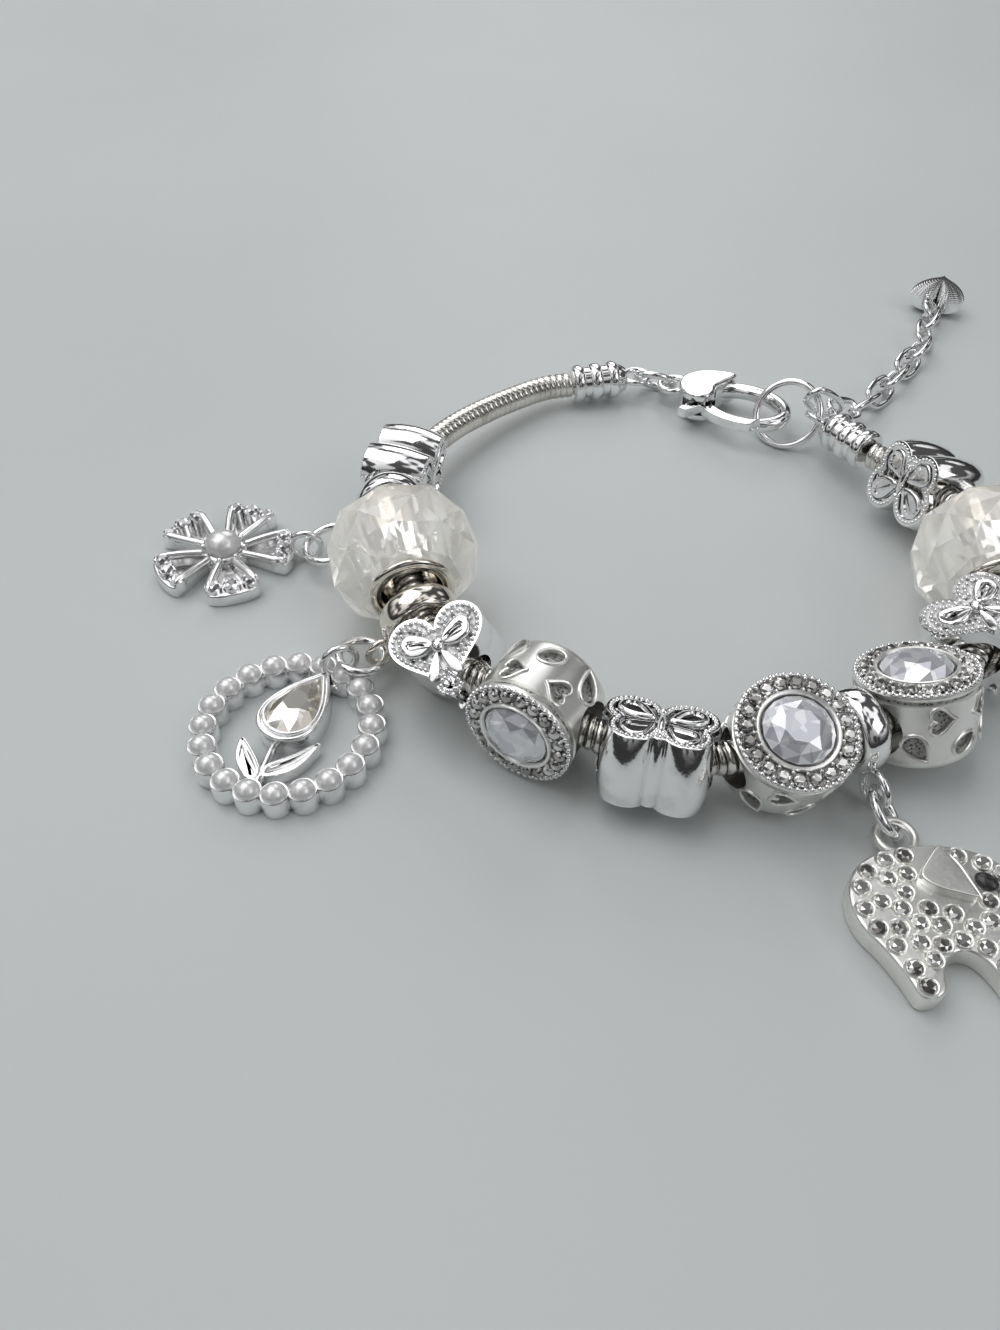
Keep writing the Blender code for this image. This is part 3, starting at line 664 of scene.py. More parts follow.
def hull_of_rings(rings: Iterable[tuple[Matrix, float, int]]) -> bmesh.types.BMesh:
    """Convex hull of flat rings of corners, each a place, a radius and a count."""
    bm = bmesh.new()
    for place, radius, count in rings:
        bmesh.ops.create_circle(bm, segments=count, radius=radius, matrix=place)
    bmesh.ops.delete(bm, geom=bm.edges[:], context="EDGES_FACES")
    bmesh.ops.convex_hull(bm, input=bm.verts[:])
    return bm


class Form:
    """A mesh that is put together in millimetres and then becomes one piece."""

    def __init__(self) -> None:
        self.bm = bmesh.new()

    def add(self, bm: bmesh.types.BMesh, place: Matrix = IDENTITY) -> "Form":
        """Take in a bmesh at a place; the bmesh is freed."""
        bmesh.ops.remove_doubles(bm, verts=bm.verts, dist=MERGE_DISTANCE)
        bmesh.ops.recalc_face_normals(bm, faces=bm.faces)
        return self.stamp(blank_mesh(bm), [place])

    def stamp(self, mesh: bpy.types.Mesh, places: Iterable[Matrix]) -> "Form":
        """Take in a mesh at each of the places; the mesh is removed."""
        for place in places:
            copy = mesh.copy()
            copy.transform(place)
            self.bm.from_mesh(copy)
            bpy.data.meshes.remove(copy)
        bpy.data.meshes.remove(mesh)
        return self

    def lathe(self, profile: Sequence[Point2], steps: int, place: Matrix = IDENTITY,
              closed: bool = False) -> "Form":
        """Turn a profile of (along X, radius) about X."""
        bm = bmesh.new()
        ring = [bm.verts.new((x, r, 0)) for x, r in profile]
        edges = [bm.edges.new(pair) for pair in zip(ring, ring[1:])]
        if closed:
            edges.append(bm.edges.new((ring[-1], ring[0])))
        bmesh.ops.spin(bm, geom=ring + edges, cent=(0, 0, 0), axis=(1, 0, 0),
                       angle=2 * math.pi, steps=steps, use_merge=True)
        return self.add(bm, place)

    def slab(self, outline: Sequence[Point2], low: float, high: float, bevel: float = 0.0,
             segments: int = 3, place: Matrix = IDENTITY, dish: float = 0.0,
             rim: float = 0.4, rows: int = 0) -> "Form":
        """Solid between two heights.

        Args:
            outline: Its outline in XY.
            low: Height of its underside.
            high: Height of its top.
            bevel: Radius of its rims.
            segments: Steps of the rims.
            place: Where it goes.
            dish: How far its top is sunk.
            rim: Width of the rim that is left round a sunk top.
            rows: Rows of vertices between the rims.

        Returns:
            This form.
        """
        bm = bmesh.new()
        face = bm.faces.new([bm.verts.new((x, y, low)) for x, y in outline])
        grown = bmesh.ops.extrude_face_region(bm, geom=[face])["geom"]
        top = [v for v in grown if isinstance(v, bmesh.types.BMVert)]
        bmesh.ops.translate(bm, vec=(0, 0, high - low), verts=top)
        bmesh.ops.recalc_face_normals(bm, faces=bm.faces)
        if bevel:
            rims = [e for e in bm.edges if abs(e.verts[0].co.z - e.verts[1].co.z) < 1e-6]
            bmesh.ops.bevel(bm, geom=rims, offset=bevel, segments=segments, profile=0.5,
                            affect="EDGES", clamp_overlap=True, material=-1)
        if dish:
            crown = [f for f in bm.faces
                     if f.normal.z > 0.99 and f.calc_center_median().z > high - 1e-4]
            for thickness, depth in ((rim, 0.0), (0.12, -dish)):
                bmesh.ops.inset_region(bm, faces=crown, thickness=thickness, depth=depth,
                                       use_even_offset=False)
        if rows:
            tall = [e for e in bm.edges
                    if abs(e.verts[0].co.z - e.verts[1].co.z) > (high - low) / 2]
            bmesh.ops.subdivide_edges(bm, edges=tall, cuts=rows, use_grid_fill=True)
        return self.add(bm, place)

    def torus(self, half_length: float, half_width: float, wire: float, place: Matrix = IDENTITY,
              steps: int = 48, sides: int = 14) -> "Form":
        """Closed oval ring of wire in the XY plane, long along X; a circle when both are equal."""
        bm = bmesh.new()
        ring = bmesh.ops.create_circle(bm, segments=sides, radius=wire,
                                       matrix=shifted(half_width, 0, 0) @ spun(90, "X"))["verts"]
        edges = list({e for v in ring for e in v.link_edges})
        bmesh.ops.spin(bm, geom=ring + edges, cent=(0, 0, 0), axis=(0, 0, 1),
                       angle=2 * math.pi, steps=steps, use_merge=True)
        straight = half_length - half_width
        for vert in bm.verts:
            away = math.hypot(vert.co.x, vert.co.y)
            vert.co.x += straight * max(-1.0, min(1.0, 1.6 * vert.co.x / away))
        return self.add(bm, place)

    def loop(self, place: Matrix) -> "Form":
        """One of the small loops that carry rings, its middle at the place."""
        return self.torus(LOOP_RADIUS, LOOP_RADIUS, LOOP_WIRE_RADIUS, place)

    def ball(self, radius: float, places: Iterable[Matrix], detail: int = 2) -> "Form":
        """Balls of one size at each place; a place can flatten them."""
        bm = bmesh.new()
        bmesh.ops.create_icosphere(bm, subdivisions=detail, radius=radius)
        return self.stamp(blank_mesh(bm), places)

    def rod(self, start: Sequence, end: Sequence, radius: float, sides: int = 24,
            tip: float | None = None) -> "Form":
        """Straight round bar between two points, tapering to `tip` if given."""
        start, end = Vector(start), Vector(end)
        bm = bmesh.new()
        bmesh.ops.create_cone(bm, cap_ends=True, segments=sides, radius1=radius,
                              radius2=radius if tip is None else tip, depth=(end - start).length)
        turn = UP.rotation_difference(end - start).to_matrix().to_4x4()
        return self.add(bm, Matrix.Translation((start + end) / 2) @ turn)

    def tube(self, points: Sequence, radius: float | Callable[[float], float], sides: int = 12,
             place: Matrix = IDENTITY, slant: float = 0.0) -> "Form":
        """Round bar along points, with capped ends.

        Args:
            points: Its centre line.
            radius: One radius, or a function of the share of the length.
            sides: Sides of its section.
            place: Where it goes.
            slant: Angle that its sections lean at, in degrees.
        """
        bm = bmesh.new()
        pts = [Vector(p) for p in points]
        hint = UP
        rings = []
        for k, here in enumerate(pts):
            along = pts[min(k + 1, len(pts) - 1)] - pts[max(k - 1, 0)]
            if abs(along.normalized().dot(hint)) > 0.95:
                hint = Vector((0, 1, 0))
            size = radius(k / (len(pts) - 1)) if callable(radius) else radius
            section = frame_at(here, along, hint) @ spun(slant, "Z") @ spun(90, "Y")
            made = bmesh.ops.create_circle(bm, segments=sides, radius=size, matrix=section,
                                           cap_ends=k in (0, len(pts) - 1))["verts"]
            edges = [e for v in made for e in v.link_edges
                     if e.verts[0] in made and e.verts[1] in made]
            rings.append(list(dict.fromkeys(edges)))
        for first, second in zip(rings, rings[1:]):
            bmesh.ops.bridge_loops(bm, edges=first + second)
        return self.add(bm, place)

    def gem(self, radius: float, crown: float, places: Iterable[Matrix], sides: int = 8,
            table: float = 0.55, depth: float = 0.4) -> "Form":
        """Cut stone with its girdle at z = 0, as the hull of its rings of corners."""
        rings = [(crown, table * radius, sides, 0.0), (crown * 0.62, 0.8 * radius, sides, 0.5),
                 (0.0, radius, 2 * sides, 0.0), (-depth, 0.5 * radius, sides, 0.0)]
        bm = hull_of_rings((shifted(0, 0, z) @ spun(360 * phase / count), r, count)
                           for z, r, count, phase in rings)
        bmesh.ops.recalc_face_normals(bm, faces=bm.faces[:])
        return self.stamp(blank_mesh(bm), places)

    def carve(self, cutter: "Form") -> "Form":
        """Cut another form away."""
        objects = []
        for form in (self, cutter):
            objects.append(in_scene("carving", blank_mesh(form.bm)))
        cut = objects[0].modifiers.new("cut", "BOOLEAN")
        cut.operation = "DIFFERENCE"
        cut.solver = "EXACT"
        cut.object = objects[1]
        graph = bpy.context.evaluated_depsgraph_get()
        result = bpy.data.meshes.new_from_object(objects[0].evaluated_get(graph))
        self.bm = bmesh.new()
        self.bm.from_mesh(result)
        bpy.data.meshes.remove(result)
        for obj in objects:
            mesh = obj.data
            bpy.data.objects.remove(obj)
            bpy.data.meshes.remove(mesh)
        return self

    def shape(self, move: Callable[[Vector], Vector]) -> "Form":
        """Move every vertex by a function of its place."""
        for vert in self.bm.verts:
            vert.co = move(vert.co.copy())
        return self

    def piece(self, name: str, finish: Finish, place: Matrix = IDENTITY,
              replaces: Sequence[str] = (), body: Body = Body.BRACELET,
              smooth: float = 38.0) -> bpy.types.Object:
        """Turn the form into a piece that rides on its body.

        Args:
            name: The piece's name.
            finish: Its surface.
            place: Where the form goes in the loop's coordinates.
            replaces: The frame's nodes that it stands for.
            body: The body that it rides on.
            smooth: Edges sharper than this many degrees stay sharp; 0 leaves flat facets.

        Returns:
            The piece.
        """
        mesh = blank_mesh(self.bm)
        mesh.transform(TO_FRAME @ place)
        mesh.name = name
        mesh.materials.append(finish.material())
        if smooth:
            mesh.shade_smooth()
            mesh.set_sharp_from_angle(angle=math.radians(smooth))
        else:
            mesh.shade_flat()
        obj = in_scene(name, mesh)
        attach(obj, body.value)
        if replaces:
            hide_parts(*replaces)
        LOG.info("%s: %d faces", name, len(mesh.polygons))
        return obj


# ------------------------------------------------------------------ chain and caps

@dataclass
class SnakeChain:
    """Round snake chain made of slanted ribs along the route.

    Args:
        rib: Length of one rib.
        samples: Sections for each rib.
        groove: Depth between two ribs.
        slant: Angle that the ribs lean at, in degrees.
    """

    rib: float = 0.82
    samples: int = 6
    groove: float = 0.2
    slant: float = 14.0

    def build(self) -> None:
        """Make the chain as one tube whose radius swells at every rib."""
        count = int(ROUTE.length / self.rib) * self.samples
        line = [ROUTE.point(ROUTE.length * k / count) for k in range(count + 1)]

        def radius(share: float) -> float:
            wave = abs(math.sin(math.pi * share * count / self.samples))
            return CHAIN_RADIUS - self.groove * (1 - wave ** 0.6)

        Form().tube(line, radius, 20, slant=self.slant).piece(
            "snake_chain_ribs", CHAIN_SILVER, replaces=["snake_chain"], smooth=50)


@dataclass
class EndCap:
    """Ribbed cap on the chain's cut end, with a soldered loop.

    Args:
        node: The frame's node.
        origin: Where it meets the chain.
        direction: Away from the chain.
        loop_axis: Normal of its loop.
    """

    node: str
    origin: Vector
    direction: Vector
    loop_axis: Sequence

    def build(self) -> None:
        """Make the cap: three rounded ribs and a domed end."""
        profile = [(0.0, 0.0), (0.0, 1.9)]
        for start, length in ((0.05, 1.45), (2.2, 1.5), (4.45, 1.35)):
            profile += [(start + length * (1 - math.cos(a)) / 2,
                         CAP_RADIUS - CAP_GROOVE + CAP_GROOVE * math.sin(a)) for a in half_turn(8)]
        profile += [(6.3, 1.75), (6.8, 1.45), (CAP_LENGTH, 0.9), (CAP_LENGTH, 0.0)]
        form = Form().lathe(profile, 48)
        form.loop(shifted(CAP_LENGTH + LOOP_REACH, 0, 0))
        place = frame_at(self.origin, self.direction, self.loop_axis)
        form.piece(f"{self.node}_ribbed", CHROME, place, [self.node])


# ------------------------------------------------------------------ beads

@dataclass
class Bead:
    """A bead on the chain.

    Args:
        node: The frame's node.
        station: Distance along the chain.
        face: Direction that its face looks in.
        drop: How far it hangs below the chain's line.
    """

    node: str
    station: float
    face: Sequence
    drop: float = 0.0

    @property
    def place(self) -> Matrix:
        """Placement with X along the chain and Z out of the face."""
        origin = ROUTE.point(self.station) - Vector((0, 0, self.drop))
        return frame_at(origin, ROUTE.tangent(self.station), self.face)

    @staticmethod
    def bore(radius: float = BORE_RADIUS, turn: Matrix = IDENTITY) -> Form:
        """Cutter for the chain's hole."""
        reach = Vector((BORE_REACH, 0, 0))
        return Form().rod(turn @ -reach, turn @ reach, radius, 48)

    @staticmethod
    def beading(outline: Sequence[Point2], pitch: float, radius: float,
                heights: Sequence[float]) -> Form:
        """Row of little balls round an outline, at each height."""
        spots = [shifted(x, y, z) for z in heights for x, y in spaced(outline, pitch)]
        return Form().ball(radius, spots)


TOP_SCALE = 0.9
NARROWED = Matrix.Diagonal((TOP_SCALE, TOP_SCALE, 1, 1))
WINGS = [(2.6, 1.45, 2.65), (-2.6, 1.45, 2.65), (2.35, -1.75, 2.35), (-2.35, -1.75, 2.35),
         (0.0, -2.6, 0.75), (0.0, 0.0, 2.2)]
UPPER_WING = ((0.6, 0.5), (1.5, 2.4), (2.7, 3.2), (3.9, 2.8), (4.2, 1.5), (3.3, 0.4), (1.7, 0.1))
LOWER_WING = ((0.6, -0.4), (1.9, -0.5), (3.3, -0.9), (3.6, -2.1), (2.6, -3.2), (1.4, -2.9),
              (0.8, -1.7))


@dataclass
class ButterflyBead(Bead):
    """Butterfly bead with tall smooth walls and the same relief on both faces."""

    half: float = 3.25

    def build(self) -> None:
        """Make the walls, the relief and the beaded borders."""
        outline = lobed_outline(WINGS, 144)
        wall = Form().slab(outline, -self.half, self.half, 0.7, 6, rows=9)
        wall.shape(self.pillow)
        tray = Form()
        for side in (1, -1):
            flip = IDENTITY if side > 0 else spun(180, "X")
            field = lobed_outline([(x, side * y, r - 0.75) for x, y, r in WINGS if r > 1], 144)
            tray.slab(field, self.half - 0.5, self.half + 1, place=flip @ NARROWED)
        wall.carve(tray).carve(self.bore(BORE_RADIUS + 0.2))
        wall.piece(f"{self.node}_wall", CHROME, self.place, [self.node])
        self.relief().piece(f"{self.node}_relief", CHROME, self.place)
        border = [(TOP_SCALE * x, TOP_SCALE * y)
                  for x, y in lobed_outline([(x, y, r - 0.42) for x, y, r in WINGS], 240)]
        edge = self.half - 0.02
        self.beading(border, 0.46, 0.2, [edge, -edge]).piece(
            f"{self.node}_beading", CHROME, self.place)

    def pillow(self, spot: Vector) -> Vector:
        """Narrow the walls towards both faces."""
        share = min(1.0, abs(spot.z) / self.half)
        scale = 1.0 - (1.0 - TOP_SCALE) * share ** 2
        return Vector((scale * spot.x, scale * spot.y, spot.z))

    def relief(self) -> Form:
        """Wings, body and feelers standing in the sunk faces."""
        form = Form()
        for flip in (IDENTITY, spun(180, "X") @ spun(180)):
            base = flip @ shifted(0, 0, self.half - 0.55) @ NARROWED
            for side in (1, -1):
                for wing, top, bevel, rim in ((UPPER_WING, 0.75, 0.35, 0.25),
                                              (LOWER_WING, 0.65, 0.32, 0.22)):
                    form.slab(mirrored(wing, side), 0.0, top, bevel, 4, base, dish=0.2, rim=rim)
                feeler = [(side * 0.25, 1.7, 0.4), (side * 0.5, 2.4, 0.5), (side * 1.0, 2.9, 0.45)]
                form.tube(catmull_rom(feeler, 6), 0.14, 8, base)
            long = Matrix.Diagonal((0.75, 3.6, 0.9, 1))
            form.ball(0.55, [base @ shifted(0, -0.4, 0.45) @ long], 3)
            form.ball(0.45, [base @ shifted(0, 1.7, 0.5)], 3)
        return form


BOW_LOOP = ((0.3, 0.5), (1.1, 1.7), (2.5, 2.3), (3.3, 1.5), (2.9, 0.3), (1.5, -0.1))
BOW_TAIL = ((0.2, -0.2), (0.9, -0.9), (1.5, -2.1), (1.3, -2.7), (0.6, -2.2), (0.25, -1.2))


@dataclass
class HeartBowBead(Bead):
    """Heart-shaped bead with a beaded border and a ribbon bow on both faces.

    Args:
        turn: Rotation of the heart in its face, in degrees.
    """

    turn: float = 0.0
    half: float = 3.8
    size: float = 8.7

    def build(self) -> None:
        """Make the wall, the hammered fields, the bow and the borders."""
        place = self.place @ spun(self.turn)
        outline = heart_outline(self.size, 128)
        wall = Form().slab(outline, -self.half, self.half, 0.55, 5)
        wall.carve(self.bore(turn=spun(-self.turn)))
        wall.piece(f"{self.node}_wall", CHROME, place, [self.node])
        relief, grains, fields = Form(), Form(), Form()
        for flip in (IDENTITY, spun(180, "Y")):
            top = flip @ shifted(0, 0, self.half)
            self.bow(relief, top)
            fields.slab(shrunk(outline, 0.5), -0.1, 0.05, place=top)
            for inward in (0.42, 1.0):
                row = spaced(shrunk(outline, inward), 0.5)
                grains.ball(0.22, [top @ shifted(x, y, 0.05) for x, y in row])
            inner = [(0.72 * x, 0.72 * y) for x, y in outline]
            for k in range(160):
                a, r = GOLDEN_ANGLE * k, 0.33 * math.sqrt(k)
                spot = (r * math.cos(a), r * math.sin(a))
                if inside(spot, inner):
                    low = top @ shifted(*spot, -0.06) @ Matrix.Diagonal((1, 1, 0.7, 1))
                    grains.ball(0.21, [low], 1)
        fields.piece(f"{self.node}_fields", HAMMERED, place)
        relief.piece(f"{self.node}_bow", CHROME, place)
        grains.piece(f"{self.node}_beading", CHROME, place, smooth=60)

    @staticmethod
    def bow(form: Form, top: Matrix) -> None:
        """Add the ribbon bow: two ribbed loops, two tails and a knot."""
        for side in (1, -1):
            form.slab(mirrored(BOW_LOOP, side), -0.2, 0.62, 0.3, 4, top, dish=0.28, rim=0.3)
            for rise in (0.55, 1.05):
                rib = [(side * 0.7, rise * 0.75, 0.5), (side * 1.7, rise * 1.15, 0.62),
                       (side * 2.5, rise * 1.35, 0.5)]
                form.tube(catmull_rom(rib, 6), 0.13, 8, top)
            form.slab(mirrored(BOW_TAIL, side), -0.2, 0.5, 0.25, 4, top)
        form.ball(0.62, [top @ shifted(0, 0.35, 0.35) @ Matrix.Diagonal((1.0, 1.15, 0.8, 1))], 3)


@dataclass
class DrumBead(Bead):
    """Drum bead: a bezel-set crystal in a halo of stones, and sunk motifs round the wall.

    Args:
        number: Its number among the drums.
    """

    number: int = 1
    half: float = 3.7
    radius: float = 5.1
    stone: float = 2.93
    halo_count: int = 20
    halo_radius: float = 4.12
    rim_count: int = 52

    def build(self) -> None:
        """Make the turned body with its motifs, the stones and the beaded rim."""
        tag = f"drum_{self.number}"
        motifs = self.motifs()
        cutter, rims, floors = Form(), Form(), Form()
        for outline, spot in motifs:
            cutter.slab(outline, -0.5, 1.2, place=spot)
            floors.slab(shrunk(outline, 0.02), -0.6, -0.42, 0.08, 2, spot)
            line = [(1.06 * x, 1.06 * y, 0.06 - y * y / (2 * self.radius)) for x, y in outline]
            rims.tube(line + line[:1], 0.15, 8, spot)
        body = Form().lathe(self.profile(), 112, X_TO_Z)
        body.carve(cutter).carve(self.bore())
        rims.piece(f"{tag}_motif_rims", SATIN, self.place)
        body.piece(f"{tag}_body", SATIN, self.place, [f"drum_body_{self.number}"], smooth=30)
        h, r = self.half, self.radius
        for x, x_far, near, far in ((h - 0.2, h - 0.06, 3.45, r - 0.45),
                                    (h - 0.94, h - 0.58, r - 0.5, r - 0.37)):
            floors.lathe([(x, near), (x_far, near), (x_far, far), (x, far)], 96, X_TO_Z,
                         closed=True)
        floors.piece(f"{tag}_blackening", RECESS, self.place)
        crystal = Form().gem(self.stone, 0.95, [shifted(0, 0, self.half + 0.3)], 8, 0.5, 0.9)
        crystal.piece(f"{tag}_crystal", LAVENDER, self.place, [f"drum_crystal_{self.number}"],
                      smooth=0)
        stones, metal = Form(), Form()
        step = 360 / self.halo_count
        spots = [spun(step * k) @ shifted(self.halo_radius, 0, self.half + 0.12)
                 for k in range(self.halo_count)]
        stones.gem(0.56, 0.3, spots, 6, 0.55, 0.25)
        stones.piece(f"{tag}_halo_stones", SMOKY, self.place, smooth=0)
        for away in (-0.5, 0.5):
            prong = shifted(self.halo_radius + away, 0, h + 0.22)
            metal.ball(0.17, [spun(step * (k + 0.5)) @ prong for k in range(self.halo_count)])
        grain = shifted(r - 0.2, 0, h + 0.02)
        metal.ball(0.24, [spun(360 / self.rim_count * k) @ grain for k in range(self.rim_count)])
        metal.piece(f"{tag}_prongs", CHROME, self.place)

    def profile(self) -> list[Point2]:
        """Profile of the body as (height, radius), from the back's middle to the seat's."""
        h, r = self.half, self.radius
        back = [(-h, 0.0), (-h, r - 1.6)]
        for k in range(1, 9):
            a = math.pi / 2 * k / 8
            back.append((-h + 1.3 * (1 - math.cos(a)), r - 1.6 + 1.42 * math.sin(a)))
        wall = [(-1.2, r - 0.08), (0.6, r - 0.05), (h - 1.05, r - 0.12), (h - 0.92, r - 0.42),
                (h - 0.6, r - 0.42), (h - 0.45, r - 0.06), (h - 0.2, r), (h, r - 0.06),
                (h + 0.08, r - 0.25), (h - 0.05, r - 0.42), (h - 0.12, r - 0.5)]
        bezel = [(h - 0.12, 3.5), (h + 0.3, 3.47), (h + 0.47, 3.4), (h + 0.5, 3.28),
                 (h + 0.45, 3.16), (h + 0.2, 3.0), (h - 1.0, 2.95), (h - 1.0, 0.0)]
        return back + wall + bezel

    def motifs(self) -> list[tuple[list[Point2], Matrix]]:
        """Outlines of the wall's motifs and where each one lies."""
        drop = pear_outline(0.98, 28)
        heart = heart_outline(2.4, 28)
        oval = oval_outline(1.15, 0.8, 24)
        found = []
        order = [drop, heart, oval, heart, drop]
        for side in (1, -1):
            for k in range(5):
                angle = side * 90 + (k - 2) * 23
                height = 1.35 if k % 2 else -1.25
                turn = (35, 180, -60, 10, 150)[k]
                seat = spun(angle) @ shifted(self.radius - 0.1, 0, height) @ spun(90, "Y")
                spin = spun(turn)
                found.append(([tuple((spin @ Vector((x, y, 0)))[:2]) for x, y in order[k]], seat))
        return found


@dataclass
class CrystalBead(Bead):
    """Faceted glass bead on a flanged metal core.

    Args:
        number: Its number among the glass beads.
    """

    number: int = 1
    half: float = 4.3
    sides: int = 9

    def build(self) -> None:
        """Make the glass as the hull of its rings of corners, and the turned core."""
        rings = [(0.0, 7.4, 0.0), (2.5, 6.9, 0.5), (self.half, 4.85, 0.0)]
        rings += [(-x, r, phase) for x, r, phase in rings[1:]]
        bm = hull_of_rings(
            (shifted(x, 0, 0) @ spun(360 * phase / self.sides, "X") @ spun(90, "Y"), r, self.sides)
            for x, r, phase in rings)
        glass = Form().add(bm).carve(self.bore(3.45))
        glass.piece(f"crystal_{self.number}_glass", GLASS, self.place,
                    [f"crystal_glass_{self.number}"], smooth=0)
        lip, inner = self.half + GAP, 2.7
        profile = [(0.0, 3.1), (lip - 0.15, 3.1), (lip, 3.25)]
        profile += [(lip + 0.36 * (1 - math.cos(a)),
                     3.65 + 0.55 * math.sin(a) - 0.25 * a / math.pi) for a in half_turn(12)]
        profile += [(lip + 0.6, 2.95), (lip + 0.2, inner), (0.0, inner)]
        other_half = [(-x, r) for x, r in reversed(profile[1:-1])]
        core = Form().lathe(profile + other_half, 72, closed=True)
        core.piece(f"crystal_{self.number}_core", WARM_NICKEL, self.place,
                   [f"crystal_core_{self.number}"])


# ------------------------------------------------------------------ bails and rings

@dataclass
class Bail:
    """Rounded band that slides on the chain and carries a small loop.

    Args:
        node: The frame's node.
        station: Distance along the chain.
        loop_point: The point that its loop leans towards.
        finish: Its metal.
    """

    node: str
    station: float
    loop_point: Sequence
    finish: Finish = CHROME
    radius: float = 3.75
    width: float = 2.5
    lip: float = 0.35

    @property
    def toward(self) -> Vector:
        """Direction from the chain to the loop."""
        along = ROUTE.tangent(self.station)
        away = Vector(self.loop_point) - ROUTE.point(self.station)
        return (away - along * away.dot(along)).normalized()

    @property
    def loop(self) -> Vector:
        """Middle of the loop."""
        return ROUTE.point(self.station) + (self.radius + LOOP_REACH) * self.toward

    def build(self) -> Vector:
        """Make the band and its loop, and return the loop's middle."""
        w, bore = self.width / 2, BORE_RADIUS
        rise = self.radius - bore - self.lip
        profile = [(-w * math.cos(a), bore + self.lip + rise * math.sin(a) ** 0.6)
                   for a in half_turn(16)]
        profile += [(w - 0.15, bore + 0.1), (w - 0.5, bore), (-w + 0.5, bore),
                    (-w + 0.15, bore + 0.1)]
        form = Form().lathe(profile, 72, closed=True)
        form.loop(shifted(0, 0, self.radius + LOOP_REACH) @ spun(90, "Y"))
        place = frame_at(ROUTE.point(self.station), ROUTE.tangent(self.station), self.toward)
        form.piece(f"{self.node}_band", self.finish, place, [self.node])
        return self.loop


@dataclass
class JumpRing:
    """Round ring of wire through two points.

    Args:
        node: The frame's node.
        first: A point on the wire's circle.
        second: The point across from it.
        z_hint: The side that its normal lies on.
    """

    node: str
    first: Vector
    second: Vector
    z_hint: Sequence

    def build(self) -> None:
        """Make the ring."""
        radius = (self.second - self.first).length / 2
        place = frame_at((self.first + self.second) / 2, self.second - self.first, self.z_hint)
        Form().torus(radius, radius, WIRE_RADIUS, steps=64, sides=16).piece(
            f"{self.node}_wire", CHROME, place, [self.node])


# ------------------------------------------------------------------ charms

def standing_loop(form: Form, centre: Sequence, along: Sequence) -> None:
    """Add a small loop standing up from the table, in the plane of Z and `along`."""
    form.loop(frame_at(centre, along, Vector(along).cross(UP)))


FAN = ((1.3, -0.7), (3.2, -1.25), (5.2, -2.2), (6.6, -2.6), (7.2, -1.7), (7.4, 0.0),
       (7.2, 1.7), (6.6, 2.6), (5.2, 2.2), (3.2, 1.25), (1.3, 0.7), (0.9, 0.0))


@dataclass
class FlowerCharm:
    """Flower of five hollow fan petals with stones along their ends.

    Args:
        loop: Middle of its own loop.
    """

    loop: Vector
    radius: float = 7.5
    petals: int = 5

    def build(self) -> None:
        """Make the petals, the middle and the stones."""
        reach = self.radius + LOOP_RADIUS - 0.35
        place = shifted(self.loop.x - reach, self.loop.y, 0)
        metal, stones = Form(), Form()
        fan = smooth_outline(FAN)
        setting = [(-1.2, 0.0), (-1.2, 0.85), (0.05, 0.9), (0.14, 0.82), (0.05, 0.7), (-1.2, 0.7)]
        for k in range(self.petals):
            turn = spun(360 / self.petals * k)
            metal.slab(fan, 0.0, 1.45, 0.22, 3, turn, dish=0.8, rim=0.34)
            for side in (1, -1):
                edge = [(2.2, side * 0.75, 1.5), (4.2, side * 1.6, 1.75), (5.9, side * 2.2, 1.8),
                        (6.5, side * 2.3, 1.4)]
                metal.tube(catmull_rom(edge, 8), 0.42, 14, turn)
            for angle in (-17, 0, 17):
                seat = turn @ spun(angle) @ shifted(6.3, 0, 1.85)
                metal.lathe(setting, 24, seat @ X_TO_Z)
                stones.gem(0.74, 0.34, [seat], 6, 0.5, 0.3)
        hub = [(0.0, 0.0), (0.0, 2.6), (1.0, 2.5), (1.5, 2.15), (1.7, 1.85), (1.7, 0.0)]
        metal.lathe(hub, 48, X_TO_Z)
        metal.ball(0.33, [spun(45 * k) @ shifted(2.15, 0, 1.75) for k in range(8)])
        standing_loop(metal, (reach, 0, self.loop.z), (1, 0, 0))
        metal.piece("flower_charm_petals", SOFT, place, ["flower_charm"])
        stones.piece("flower_charm_stones", RHINESTONE, place, smooth=0)
        Form().ball(1.85, [shifted(0, 0, 2.0) @ Matrix.Diagonal((1, 1, 0.85, 1))], 4).piece(
            "flower_charm_pearl", PEARL, place)


TULIP_LEAVES = (
    ((-2.4, -5.6), (-1.7, -4.6), (-2.6, -2.6), (-3.9, -0.9), (-4.2, -2.9), (-3.4, -4.7)),
    ((-1.5, -5.2), (-1.3, -4.0), (0.6, -3.0), (3.0, -1.7), (2.0, -3.7), (0.4, -5.0)))


